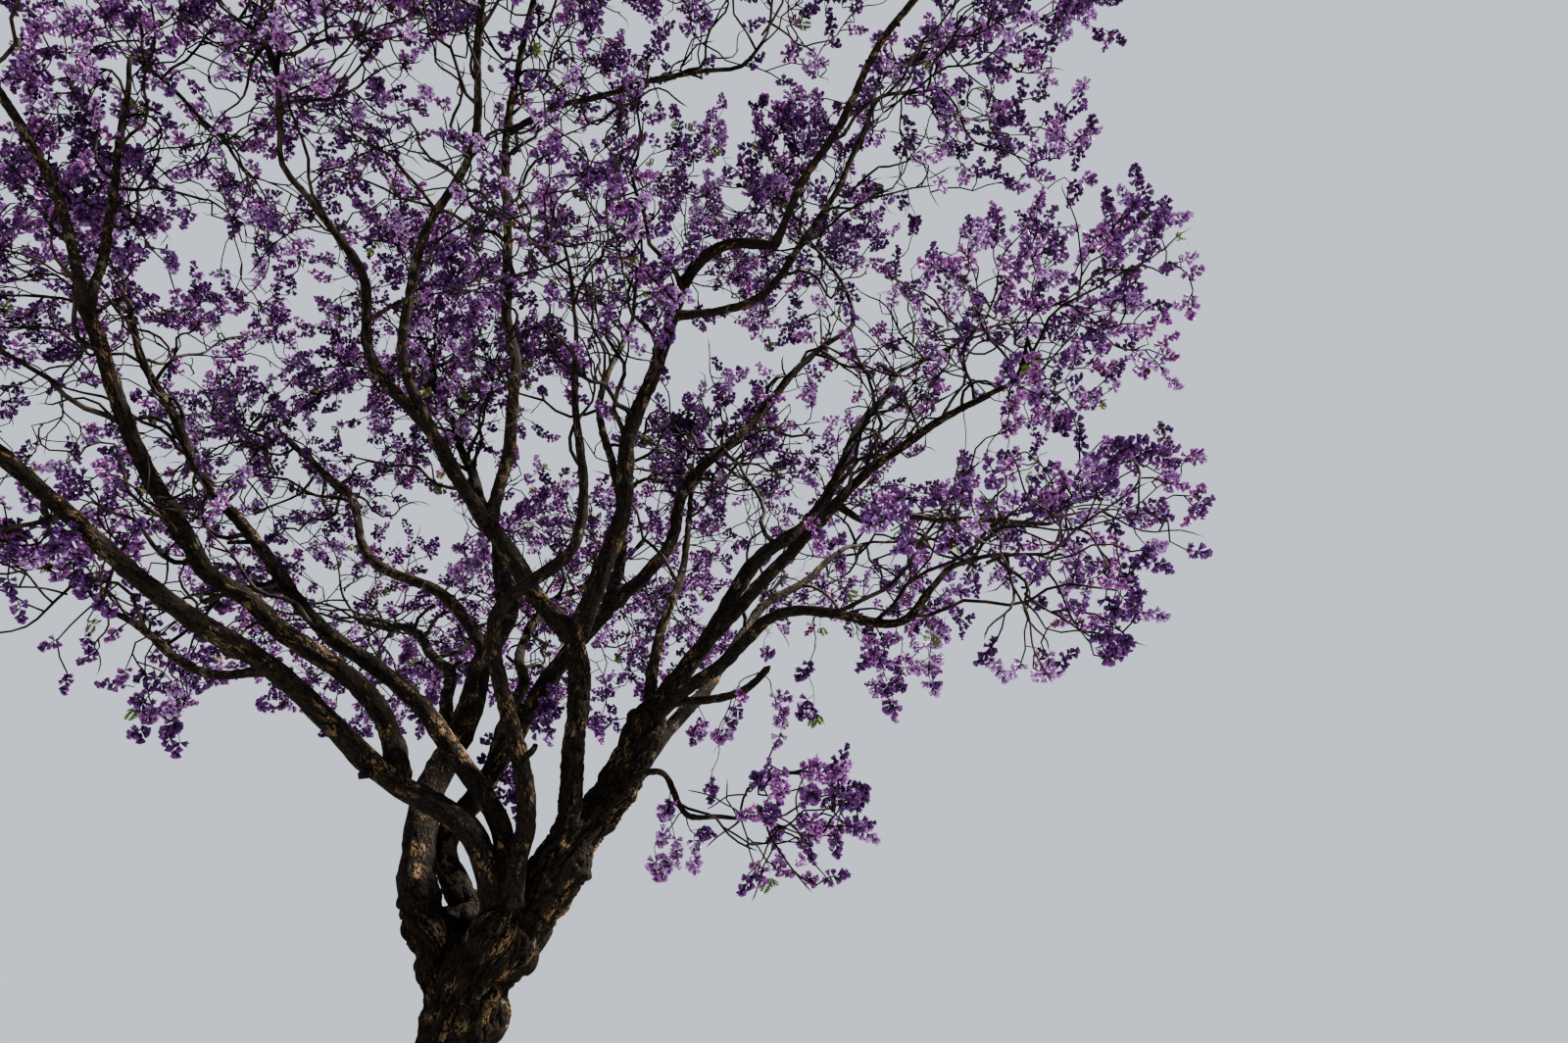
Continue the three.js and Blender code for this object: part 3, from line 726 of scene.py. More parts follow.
class Mass:
    """One mass of blossom, branched by the source's rule."""

    def __init__(self, index: int, limbs: dict[str, Limb], spaces: Spaces, near: Stretches) -> None:
        """Takes its bough and its space.

        Args:
            index: Its place in MASSES.
            limbs: All limbs by name.
            spaces: The masses' spaces.
            near: What it keeps clear of.
        """
        self.index = index
        self.sizes = MASSES[index]
        self.middle = np.array(self.sizes.middle)
        self.bough = limbs[self.sizes.on]
        self.spaces = spaces
        self.near = near
        self.draw = seeded(RULE.seed + RULE.seed_step * index)
        self.outward = unit(self.middle - np.array(RULE.heart))
        self.clusters: list[tuple[Array, Array, float]] = []
        self.runners: list[Runner] = []

    def grow_stem(self) -> None:
        """Runs the stem from the bough's tip toward the middle of the space."""
        line, tip = self.bough.line, self.bough.sizes.tip
        way = line.way(line.length)
        start = line.point(line.length) + way * GAP
        end = start + (self.middle - start) * RULE.stem_runs
        bend = start + way * np.linalg.norm(end - start) * RULE.stem_straight
        self.stem = Line([start, bend, end], 0, BOUGH.wave, self.draw)
        self.stem_steps = max(1, round(self.stem.length / RULE.stem_step))
        girth, thin = tip * RULE.stem_girth, tip * RULE.stem_tip
        self.runners.append(Runner((start, bend, end), girth, thin, True))

    def fits(self, start: Array, end: Array, radius: float) -> bool:
        """Tells whether a straight stretch stays in the space and clear of the limbs.

        Args:
            start: Its start.
            end: Its end.
            radius: Its radius.

        Returns:
            True if it does.
        """
        depth = self.spaces.depth(np.array(self.index), np.array([start, end])).min()
        if depth < radius + RULE.keep:
            return False
        return self.near.clear_of(start, end, radius, self.sizes.on)

    def run_in(self, start: Array, way: Array) -> float:
        """Measures how far a ray runs inside the space.

        Args:
            start: Where it starts.
            way: Its direction.

        Returns:
            The distance.
        """
        near, far = 0.0, 2 * self.sizes.radius
        for _ in range(RULE.halvings):
            half = (near + far) / 2
            if self.spaces.depth(np.array(self.index), start + way * half) > RULE.keep:
                near = half
            else:
                far = half
        return near

    def cluster_fits(self, line: Line, length: float, steps: int) -> bool:
        """Tells whether there is room for a cluster at the end of a line, and keeps it there.

        Args:
            line: The twig that carries it.
            length: The cluster's length.
            steps: In how many straight steps the source runs the twig.

        Returns:
            True if it fits.
        """
        tip, way = line.point(line.length), line.way(line.length)
        belly = length * RULE.belly
        middle, end = tip + way * length * RULE.belly_at, tip + way * length
        first, second = carried_frames(line.ways_at(line.length * np.arange(steps + 1) / steps)[None])
        angles = 2 * math.pi * np.arange(RULE.twig_sides) / RULE.twig_sides
        ring = [middle + belly * (first[0, -1] * math.cos(a) + second[0, -1] * math.sin(a))
                for a in angles]
        if self.spaces.depth(np.array(self.index), np.array([*ring, end])).min() < RULE.keep:
            return False
        if not self.fits(tip, middle, belly):
            return False
        if self.clusters:
            tips, ends, bellies = (np.array(values) for values in zip(*self.clusters))
            if np.any(apart_from(tip, end, tips, ends) < RULE.apart * (belly + bellies)):
                return False
        self.clusters.append((tip, end, belly))
        return True

    def grow_twig(self, root: Array, way: Array, most: float, girth: float, steps: int,
                  size: float) -> Line | None:
        """Grows a bent twig with its cluster, if there is room for both.

        Args:
            root: Where it leaves its parent.
            way: Its direction.
            most: The most length of both.
            girth: Its radius where it leaves.
            steps: In how many straight steps the source runs it.
            size: The cluster's size, for that on a twig.

        Returns:
            The twig's line, or None.
        """
        length = self.sizes.radius * size * pick(RULE.cluster, self.draw)
        reach = min(most, self.run_in(root, way) * RULE.reach) - length
        if reach < RULE.least * self.sizes.radius:
            return None
        end = root + way * reach
        kink = (root + end) / 2
        for across in across_of(way):
            kink = kink + across * (self.draw() - 0.5) * RULE.kink * reach
        line = Line([root, kink, end], 0, BOUGH.wave, self.draw)
        marks = line.points(line.length * np.arange(steps + 1) / steps)
        if not all(self.fits(a, b, girth / 2) for a, b in zip(marks, marks[1:])):
            return None
        if not self.cluster_fits(line, length, steps):
            return None
        self.runners.append(Runner((root, kink, end, self.clusters[-1][1]), girth, 0.0, False))
        return line

    def grow_shoots(self, twig: Line, turn: int) -> None:
        """Grows the side shoots of a twig.

        Args:
            twig: The twig's line.
            turn: How far all of them are rolled about it, in radians.
        """
        girth = self.bough.sizes.tip * RULE.twig_girth * RULE.shoot_girth
        for k in range(RULE.shoots):
            share = RULE.shoot_first + RULE.shoot_over * (k + self.draw() / 2) / RULE.shoots
            root = twig.on_steps(RULE.twig_steps, share)
            way = twig.way(twig.length * share)
            for attempt in range(RULE.tries):
                angle = math.radians(pick(RULE.shoot_angle, self.draw))
                roll = math.pi * (k + attempt / 2) + self.draw() + turn
                most = self.sizes.radius * pick(RULE.shoot_reach, self.draw)
                direction = turned(way, angle, roll)
                if self.grow_twig(root, direction, most, girth, 1, RULE.cluster_on_shoot):
                    break

    def grow(self) -> list[Runner]:
        """Grows the stem, its twigs and their shoots.

        Returns:
            All of them, the stem first.
        """
        self.grow_stem()
        girth = self.bough.sizes.tip * RULE.twig_girth
        roll = self.draw() * 2 * math.pi
        for i in range(RULE.twigs):
            share = RULE.twig_first + (1 - RULE.twig_first) * (i + 0.5) / RULE.twigs
            root = self.stem.on_steps(self.stem_steps, share)
            height = 1 - (2 * i + 1) / RULE.twigs
            level = math.sqrt(1 - height**2)
            for attempt in range(RULE.tries):
                around = i * GOLDEN_ANGLE + roll + RULE.shift * attempt
                spread = np.array([level * math.cos(around), level * math.sin(around), height])
                direction = unit(spread + self.outward * RULE.lift)
                twig = self.grow_twig(root, direction, math.inf, girth, RULE.twig_steps, 1)
                if twig:
                    self.grow_shoots(twig, i)
                    break
        return self.runners


# Fine wood that carries the rule on


@dataclass
class Wood:
    """Many thin branches of one order.

    Paths has the shape (branches, stations, 3). Mass names the mass of each branch by its place.
    """

    paths: Array
    radii: Array
    mass: Array

    def lengths(self) -> Array:
        """Gives each branch's length."""
        return np.linalg.norm(np.diff(self.paths, axis=1), axis=-1).sum(axis=1)

    def ways(self) -> Array:
        """Gives the direction at each station."""
        return unit(np.gradient(self.paths, axis=1))

    def tips(self) -> Array:
        """Gives each branch's end."""
        return self.paths[:, -1]

    def chosen(self, which: Array) -> "Wood":
        """Takes some of the branches."""
        return Wood(self.paths[which], self.radii[which], self.mass[which])

    def at(self, branch: Array, share: Array) -> tuple[Array, Array, Array]:
        """Finds places along the branches.

        Args:
            branch: Which branch each place is on.
            share: How far along it each place is, from 0 to 1.

        Returns:
            The points, directions and radii there.
        """
        position = share * (self.paths.shape[1] - 1)
        low = np.clip(position.astype(int), 0, self.paths.shape[1] - 2)
        rest = position - low
        here, there = self.paths[branch, low], self.paths[branch, low + 1]
        radius = self.radii[branch, low] * (1 - rest) + self.radii[branch, low + 1] * rest
        return here + (there - here) * rest[:, None], unit(there - here), radius

    @staticmethod
    def joined(woods: Sequence["Wood"]) -> "Wood":
        """Joins branches with the same number of stations."""
        return Wood(*(np.concatenate(parts) for parts in zip(
            *((wood.paths, wood.radii, wood.mass) for wood in woods))))


@dataclass(frozen=True)
class Order:
    """How one order of fine branches grows on the one before it.

    They stand spacing apart on their parent, from its share first on. Girth is the radius there for
    the parent's, held between the two of least. Bend is the most turn to both sides in one step,
    in waves as long as wave, and lift the turn out and up. Within is the share that grows deep
    inside the crown, and inside the share of each that lies in its mass's space.
    """

    spacing: float
    first: float
    length: Span
    angle: Span
    steps: int
    sides: int
    girth: float
    least: Span
    tip: float
    bend: float
    wave: float
    lift: float
    within: float
    inside: float = 1.0


SIDE_TWIG = Order(
    spacing=0.22, first=0.1, length=(0.9, 2.2), angle=(30, 65), steps=11, sides=5, girth=0.5,
    least=(0.014, 0.026), tip=0.008, bend=0.42, wave=0.7, lift=0.1, within=0.9, inside=0.4)
BRANCHLET = Order(
    spacing=0.48, first=0.15, length=(0.6, 1.3), angle=(30, 60), steps=7, sides=3, girth=0.6,
    least=(0.010, 0.017), tip=0.007, bend=0.55, wave=0.5, lift=0.11, within=0.7)
SPRIG = Order(
    spacing=0.38, first=0.15, length=(0.3, 0.65), angle=(30, 65), steps=4, sides=3, girth=0.65,
    least=(0.008, 0.011), tip=0.006, bend=0.6, wave=0.42, lift=0.13, within=0.55)
TWIGLET = Order(
    spacing=0.23, first=0.25, length=(0.14, 0.3), angle=(30, 65), steps=2, sides=3, girth=0.8,
    least=(0.005, 0.007), tip=0.004, bend=0.6, wave=0.3, lift=0.13, within=0.4)


class Grower:
    """Grows orders of fine branches that keep to the masses' spaces.

    A branch is tried TRIES times, each time SHRINK as long and rolled on by NEXT_ROLL, until it is
    MARGIN inside its space and its end as far from the bark. Toward the heart of the crown a space
    goes farther, by INWARD for each metre of its radius over INWARD_FROM. OUTWARD and UPWARD say
    which way its lift turns a branch, and KINK how unevenly it bends. Between the depths of SHELL
    under the outside of the crown they grow fewer and fewer.
    """

    TRIES = 6
    SHRINK = 0.88
    MARGIN = 0.02
    INWARD = 0.9
    INWARD_FROM = 0.8
    OUTWARD = 0.6
    UPWARD = 1.6
    NEXT_ROLL = 2.1
    KINK = 0.45
    SHIFT = (0.1, 0.9)
    LAST = 0.98
    SHELL = (1.0, 3.0)

    def __init__(self, spaces: Spaces, near: Stretches, seed: int) -> None:
        """Reads what it needs of each mass.

        Args:
            spaces: The spaces of the masses.
            near: The limbs to stay clear of.
            seed: Seed of all that differs.
        """
        self.spaces = spaces
        self.near = near
        self.random = np.random.default_rng(seed)
        self.middles = np.array([mass.middle for mass in MASSES])
        self.lifts = np.array([mass.lift for mass in MASSES])
        self.full = np.array([mass.full for mass in MASSES])
        self.inward = self.INWARD * (spaces.radii - self.INWARD_FROM)

    def walk(self, roots: Array, ways: Array, lengths: Array, mass: Array, order: Order) -> Array:
        """Walks winding paths that turn out of their mass and up.

        Args:
            roots: Where they start.
            ways: Their first directions.
            lengths: How long each is.
            mass: The mass of each.
            order: How they bend.

        Returns:
            Points of shape (paths, steps + 1, 3).
        """
        phase = self.random.uniform(0, 2 * math.pi, (len(roots), 2))
        side, up = across_of(ways)
        points, way = [roots], ways
        for step in range(order.steps):
            turn = 2 * math.pi * step * (lengths / order.steps)[:, None] / order.wave
            kink = self.random.normal(0, self.KINK, (len(roots), 2))
            swing = order.bend * (np.sin(turn + phase) + kink)
            out = unit(points[-1] - self.middles[mass]) * self.OUTWARD
            out = out + UP * self.lifts[mass][:, None] * self.UPWARD
            way = unit(way + side * swing[:, :1] + up * swing[:, 1:] + out * order.lift)
            points.append(points[-1] + way * (lengths / order.steps)[:, None])
        return np.stack(points, axis=1)

    def grow(self, parents: Wood, order: Order, from_bough: bool = False) -> Wood:
        """Grows one order of branches on their parents.

        Args:
            parents: The order before it.
            order: How the new one grows.
            from_bough: True where each branch belongs to the space that it reaches into.

        Returns:
            The branches that fit.
        """
        lengths = parents.lengths()
        counts = (1 - order.first) * lengths / order.spacing * np.maximum(1, self.full[parents.mass])
        counts = np.maximum(1, np.round(counts)).astype(int)
        parent = np.repeat(np.arange(len(lengths)), counts)
        place = np.arange(len(parent)) - np.repeat(np.cumsum(counts) - counts, counts)
        shift = self.random.uniform(*self.SHIFT, len(parent))
        share = order.first + (1 - order.first) * (place + shift) / counts[parent]
        roots, along, girths = parents.at(parent, np.minimum(share, self.LAST))
        mass = parents.mass[parent]
        turn = self.random.uniform(0, 2 * math.pi, len(lengths))[parent] + place * GOLDEN_ANGLE
        size = self.random.uniform(*order.length, len(parent))
        paths = np.zeros((len(parent), order.steps + 1, 3))
        left = np.arange(len(parent))
        first_inside = 1 + round((1 - order.inside) * order.steps)
        for attempt in range(self.TRIES):
            angle = np.radians(self.random.uniform(*order.angle, len(left)))
            ways = turned(along[left], angle, turn[left] + attempt * self.NEXT_ROLL)
            reach = size[left] * self.SHRINK**attempt
            if from_bough:
                mass[left] = self.spaces.home(roots[left] + ways * reach[:, None])
            tried = self.walk(roots[left], ways, reach, mass[left], order)
            depth = self.spaces.depth(mass[left], tried, self.inward)[:, first_inside:].min(axis=1)
            fits = (depth > self.MARGIN) & self.near.bare(tried[:, -1], self.MARGIN)
            paths[left[fits]] = tried[fits]
            left = left[~fits]
        kept = np.setdiff1d(np.arange(len(parent)), left)
        under = self.spaces.under_crown(paths[kept, -1])
        share = self.full[mass[kept]] * np.interp(under, self.SHELL, (1, order.within))
        kept = kept[self.random.uniform(0, 1, len(kept)) < share]
        start = np.clip(girths[kept] * order.girth, *order.least)
        fade = np.linspace(0, 1, order.steps + 1)
        radii = start[:, None] * (1 - fade) + order.tip * fade
        return Wood(paths[kept], radii, mass[kept])


# Meshes


def mesh_object(name: str, vertices: Array, faces: Sequence[Array], smooth: bool = True,
                values: dict[str, Array] | None = None) -> Piece:
    """Makes a mesh from arrays.

    Args:
        name: The object's name.
        vertices: Points of shape (n, 3).
        faces: Arrays of vertex numbers, each with faces of one number of corners.
        smooth: Whether its faces are shaded smooth.
        values: Numbers to keep on the vertices, by name.

    Returns:
        The new object, at the origin.
    """
    mesh = bpy.data.meshes.new(name)
    mesh.vertices.add(len(vertices))
    mesh.vertices.foreach_set("co", np.asarray(vertices, np.float32).ravel())
    corners = np.concatenate([part.ravel() for part in faces]).astype(np.int32)
    sizes = np.concatenate([np.full(len(part), part.shape[1]) for part in faces])
    mesh.loops.add(len(corners))
    mesh.loops.foreach_set("vertex_index", corners)
    mesh.polygons.add(len(sizes))
    mesh.polygons.foreach_set("loop_start", (np.cumsum(sizes) - sizes).astype(np.int32))
    mesh.update(calc_edges=True)
    mesh.validate()
    mesh.polygons.foreach_set("use_smooth", np.full(len(mesh.polygons), smooth))
    for label, numbers in (values or {}).items():
        keep_values(mesh, label, numbers)
    made = bpy.data.objects.new(name, mesh)
    bpy.context.scene.collection.objects.link(made)
    return made


def keep_values(mesh: bpy.types.Mesh, label: str, numbers: Array) -> None:
    """Keeps a number or a vector on each vertex of a mesh.

    Args:
        mesh: The mesh.
        label: The name that they are kept under.
        numbers: One for each vertex, of shape (n,) or (n, 3).
    """
    is_vector = numbers.ndim == 2
    kind = "FLOAT_VECTOR" if is_vector else "FLOAT"
    attribute = mesh.attributes.new(label, kind, "POINT")
    attribute.data.foreach_set("vector" if is_vector else "value", numbers.astype(np.float32).ravel())


def tubes(name: str, groups: Sequence[tuple[Wood, int]], blunt: bool = False) -> Piece:
    """Joins many closed tubes into one mesh.

    Args:
        name: The object's name.
        groups: Branches, each order with its number of sides.
        blunt: True for flat ends, or else each tube ends in a point.

    Returns:
        The new object.
    """
    points, quads, threes, caps, offset = [], [], [], [], 0
    for wood, sides in groups:
        count = len(wood.mass)
        rings = wood.paths.shape[1] if blunt else wood.paths.shape[1] - 1
        first, second = (across[:, :rings, None] for across in carried_frames(wood.ways()))
        angles = 2 * math.pi * np.arange(sides)[:, None] / sides
        around = first * np.cos(angles) + second * np.sin(angles)
        skin = wood.paths[:, :rings, None] + around * wood.radii[:, :rings, None, None]
        skin = np.concatenate([skin.reshape(count, -1, 3), wood.paths[:, -1:]], axis=1)
        base = offset + (rings * sides + 1) * np.arange(count)[:, None]
        here, ahead = np.arange(sides), (np.arange(sides) + 1) % sides
        ring = base[:, :, None] + sides * np.arange(rings - 1)[:, None]
        low, high = ring + here, ring + ahead
        quads.append(np.stack([low, high, high + sides, low + sides], axis=-1).reshape(-1, 4))
        end = base + (rings - 1) * sides
        tip = np.broadcast_to(base + rings * sides, (count, sides))
        threes.append(np.stack([end + here, end + ahead, tip], axis=-1).reshape(-1, 3))
        caps.append(base + here[::-1])
        points.append(skin.reshape(-1, 3))
        offset += len(points[-1])
    return mesh_object(name, np.concatenate(points), quads + threes + caps)


def triangles_in(piece: Piece) -> int:
    """Counts the triangles of a piece."""
    corners = np.zeros(len(piece.data.polygons), np.int32)
    piece.data.polygons.foreach_get("loop_total", corners)
    return int((corners - 2).sum())


def coordinates_of(piece: Piece) -> Array:
    """Reads a piece's vertices."""
    numbers = np.empty(len(piece.data.vertices) * 3, np.float32)
    piece.data.vertices.foreach_get("co", numbers)
    return numbers.reshape(-1, 3).astype(float)


def put_coordinates(piece: Piece, points: Array) -> None:
    """Moves a piece's vertices."""
    piece.data.vertices.foreach_set("co", np.asarray(points, np.float32).ravel())
    piece.data.update()


def deselect_all() -> None:
    """Leaves nothing selected."""
    bpy.ops.object.select_all(action="DESELECT")


def take(piece: Piece) -> None:
    """Selects one piece and makes it the active one."""
    deselect_all()
    piece.select_set(True)
    bpy.context.view_layer.objects.active = piece


def apply_modifier(piece: Piece, kind: str, **settings: object) -> None:
    """Adds one modifier to a piece and applies it.

    Args:
        piece: The piece.
        kind: The modifier's type.
        **settings: Its settings.
    """
    take(piece)
    modifier = piece.modifiers.new(kind.lower(), kind)
    for name, value in settings.items():
        setattr(modifier, name, value)
    bpy.ops.object.modifier_apply(modifier=modifier.name)


# Bark


class Noise:
    """Soft noise in space, from about -1 to 1, the same on every run."""

    CELLS = 256
    SPAN = 1.7

    def __init__(self, seed: int) -> None:
        """Deals out the slopes that it is made of.

        Args:
            seed: Seed of the slopes.
        """
        random = np.random.default_rng(seed)
        self.order = random.permutation(self.CELLS)
        self.slopes = unit(random.normal(size=(self.CELLS, 3)))

    def at(self, points: Array) -> Array:
        """Reads the noise.

        Args:
            points: Places of shape (n, 3).

        Returns:
            One number for each.
        """
        cell = np.floor(points).astype(int)
        rest = points - cell
        ease = rest**3 * (rest * (rest * 6 - 15) + 10)
        total = np.zeros(len(points))
        for corner in np.ndindex(2, 2, 2):
            number = np.zeros(len(points), int)
            for axis in range(3):
                number = self.order[(number + cell[:, axis] + corner[axis]) % self.CELLS]
            slope = np.sum(self.slopes[number] * (rest - corner), axis=1)
            total += slope * np.prod(np.where(corner, ease, 1 - ease), axis=1)
        return self.SPAN * total


NOISE = Noise(5)


@dataclass(frozen=True)
class Relief:
    """The relief of bark: plates between long cracks, over lumps.

    Width is a plate's and depth its cracks', and the lumps are as wide as lump and stand out by
    lumps. A stretch is a length for its width, and edge the share of a plate that slopes into the
    crack. Small gives the width, length and height of smaller lumps for the larger ones, and fine
    how many smaller plates stand across one and how far out. Level is how raised bark is where it
    neither stands out nor is sunk.
    """

    width: float
    depth: float
    lumps: float
    lump: float
    stretch: float = 3.6
    edge: float = 0.3
    lump_stretch: float = 1.7
    small: Point = (0.4, 1.3, 0.45)
    fine: Span = (2.1, 0.35)
    level: float = 0.7

    @staticmethod
    def for_girth(girth: float) -> "Relief":
        """Chooses the relief of a limb by its radius, the girth."""
        return Relief(
            width=0.02 + 0.16 * girth,
            depth=min(0.036, 0.002 + 0.15 * girth),
            lumps=0.19 * girth,
            lump=0.06 + 0.8 * girth,
        )

    def read(self, grain: Array) -> tuple[Array, Array]:
        """Reads the relief at places along the grain.

        Args:
            grain: Places on a straight skin, of shape (n, 3), with Z along the limb.

        Returns:
            How far each place stands out, and how raised it is from 0 in a crack to 1 on a plate.
        """
        elsewhere, farther = 31, 17
        small_wide, small_long, small_high = self.small
        many, share = self.fine
        broad = NOISE.at(grain / (self.lump * np.array([1, 1, self.lump_stretch])))
        small = NOISE.at(grain / (small_wide * self.lump * np.array([1, 1, small_long])) + elsewhere)
        across = grain / (self.width * np.array([1, 1, self.stretch]))
        plate = np.clip(np.abs(NOISE.at(across)) / self.edge, 0, 1)
        fine = np.clip(np.abs(NOISE.at(many * across + farther)) / self.edge, 0, 1)
        raised = plate * (1 - share + share * fine)
        height = self.lumps * (broad + small_high * small) + self.depth * (raised - self.level)
        return height, raised


@dataclass(frozen=True)
class SkinRule:
    """How the limbs' skins are made.

    A face is as wide as face, and the rings stand ring apart and ring_share of the radius more. A
    limb is wider by flare at its root, over flare_reach of its girth, but starts no wider than
    rooted of its parent's radius and opens from that. A fork's skin takes in the stub of each limb
    on it, and both narrow where they meet. Dome is the length of a rounded end for its radius, and
    girth_rank the share of a fork's skin, in percent, on limbs thinner than its relief is for.
    """

    face: float = 0.022
    ring: float = 0.03
    ring_share: float = 0.3
    flare: float = 0.32
    flare_reach: float = 1.1
    rooted: float = 0.75
    opening: float = 0.5
    stub: float = 0.45
    narrowing: float = 0.3
    dome: float = 0.8
    blunt: float = 0.06
    stations: int = 200
    sides: tuple[int, int] = (10, 40)
    part_ring: float = 0.04
    part_rings: int = 8
    grain_shift: float = 10.0
    girth_rank: float = 70.0


SKIN = SkinRule()


class Skin:
    """The skin of one limb, made straight and then bent along its line."""

    def __init__(self, line: Line, radius: Callable[[Array, Array], Array], reach: float,
                 middling: float) -> None:
        """Measures the line.

        Args:
            line: The limb's line.
            radius: Gives the radius at some distances and angles round the limb.
            reach: How much of the line the skin covers.
            middling: The limb's radius halfway, which the straight skin has.
        """
        self.line = line
        self.radius = radius
        self.reach = reach
        self.middling = middling
        self.offset = np.array([0.0, 0.0, SKIN.grain_shift * line.phases[0]])
        self.marks = np.linspace(0, reach, SKIN.stations)
        self.ways = line.ways_at(self.marks)
        frames = carried_frames(self.ways[None])
        self.first, self.second = frames[0][0], frames[1][0]

    @staticmethod
    def of_column(below: float) -> "Skin":
        """Takes the trunk's column, with its root flare.

        Args:
            below: How far under the ground it starts.

        Returns:
            Its skin.
        """
        low, high = TRUNK.middle(np.array(-below)), TRUNK.middle(np.array(TRUNK.height))
        line = Line([low, high], 0, BOUGH.wave, seeded(BOUGH.seed))

        def radius(distances: Array, angles: Array) -> Array:
            """Gives the column's radius at some distances and angles."""
            return TRUNK.radius(distances - below, angles)

        return Skin(line, radius, line.length, TRUNK.waist)

    @staticmethod
    def of_limb(limb: Limb, limbs: dict[str, Limb], is_stub: bool, on_fork: bool) -> "Skin":
        """Takes a limb, whole or as the first stretch that a fork's skin takes in.

        Args:
            limb: The limb.
            limbs: All limbs by name.
            is_stub: True for the first stretch only.
            on_fork: True if its first stretch is in a fork's skin.

        Returns:
            Its skin, which starts and ends inside its neighbours.
        """
        sizes, length = limb.sizes, limb.line.length
        parent = limbs.get(sizes.parent)
        room = SKIN.rooted * float(parent.radius(np.array(sizes.at))) if parent else math.inf
        reach = SKIN.stub if is_stub else length

        def radius(distances: Array, angles: Array) -> Array:
            """Gives the limb's radius, which is the same at all angles.

            Args:
                distances: Distances from the limb's start.
                angles: Angles round it, which aren't used.

            Returns:
                The radius at each distance.
            """
            flare = SKIN.flare * np.exp(-distances / (SKIN.flare_reach * sizes.girth))
            full = limb.radius(distances) * (1 + (flare if parent else 0))
            share = np.clip(distances / SKIN.stub, 0, 1)
            if is_stub:
                full = full * (1 - SKIN.narrowing * share**2)
            elif on_fork:
                full = full * (1 - SKIN.narrowing * (1 - np.clip(2 * share, 0, 1)))
            dome = SKIN.dome * limb.sizes.tip
            beyond = np.clip((distances - reach + dome) / dome, 0, 1)
            rounded = np.sqrt(1 + SKIN.blunt - beyond**2)
            return np.minimum(full, room + SKIN.opening * distances) * np.minimum(rounded, 1)

        return Skin(limb.line, radius, reach, float(limb.radius(np.array(length / 2))))

    def straight(self, sides: int, rings: int) -> Piece:
        """Makes a closed straight skin along Z from a cylinder.

        Args:
            sides: Faces round it.
            rings: Steps along it.

        Returns:
            The new object.
        """
        deselect_all()
        bpy.ops.mesh.primitive_cylinder_add(
            vertices=sides, radius=self.middling, depth=self.reach, end_fill_type="TRIFAN",
            location=(0, 0, self.reach / 2))
        piece = bpy.context.object
        bpy.ops.object.transform_apply(location=True, rotation=True, scale=True)
        bpy.ops.object.mode_set(mode="EDIT")
        bpy.ops.mesh.select_mode(type="EDGE")
        shape = bmesh.from_edit_mesh(piece.data)
        for edge in shape.edges:
            edge.select_set(abs(edge.verts[0].co.z - edge.verts[1].co.z) > self.reach / 2)
        bmesh.update_edit_mesh(piece.data)
        bpy.ops.mesh.subdivide(number_cuts=rings - 1)
        bpy.ops.object.mode_set(mode="OBJECT")
        return piece

    def bend(self, piece: Piece, height: Array | float = 0.0) -> None:
        """Bends a straight skin along the line and gives it the limb's taper.

        Args:
            piece: The skin, which is changed.
            height: How far each vertex stands out.
        """
        straight = coordinates_of(piece)
        along = np.clip(straight[:, 2], 0, self.reach)
        angles = np.arctan2(straight[:, 1], straight[:, 0])
        out = np.linalg.norm(straight[:, :2], axis=1) / self.middling
        wide = self.radius(along, angles)
        wide = wide + height * np.minimum(1, wide / self.middling)
        across = (np.cos(angles)[:, None] * self.between(along, self.first)
                  + np.sin(angles)[:, None] * self.between(along, self.second))
        put_coordinates(piece, self.line.points(along) + across * (wide * out)[:, None])

    def between(self, along: Array, values: Array) -> Array:
        """Reads vectors that were measured along the line at other distances."""
        return np.stack([np.interp(along, self.marks, values[:, i]) for i in range(3)], axis=-1)

    def part(self) -> Piece:
        """Makes the plain bent skin, for a fork.

        Returns:
            The new object.
        """
        piece = self.straight(SKIN.sides[1], max(SKIN.part_rings, round(self.reach / SKIN.part_ring)))
        self.bend(piece)
        return piece

    def build(self, name: str) -> Piece:
        """Makes the skin with its bark.

        Args:
            name: The piece's name.

        Returns:
            The new object, with its grain and how raised its bark is kept on its vertices.
        """
        sides = int(np.clip(2 * math.pi * self.middling / SKIN.face, *SKIN.sides))
        rings = round(self.reach / (SKIN.ring + SKIN.ring_share * self.middling))
        piece = self.straight(sides, rings)
        piece.name = piece.data.name = name
        grain = coordinates_of(piece) + self.offset
        height, raised = Relief.for_girth(self.middling).read(grain)
        keep_values(piece.data, "grain", grain)
        keep_values(piece.data, "raised", raised)
        self.bend(piece, height)
        take(piece)
        bpy.ops.object.shade_smooth()
        return piece


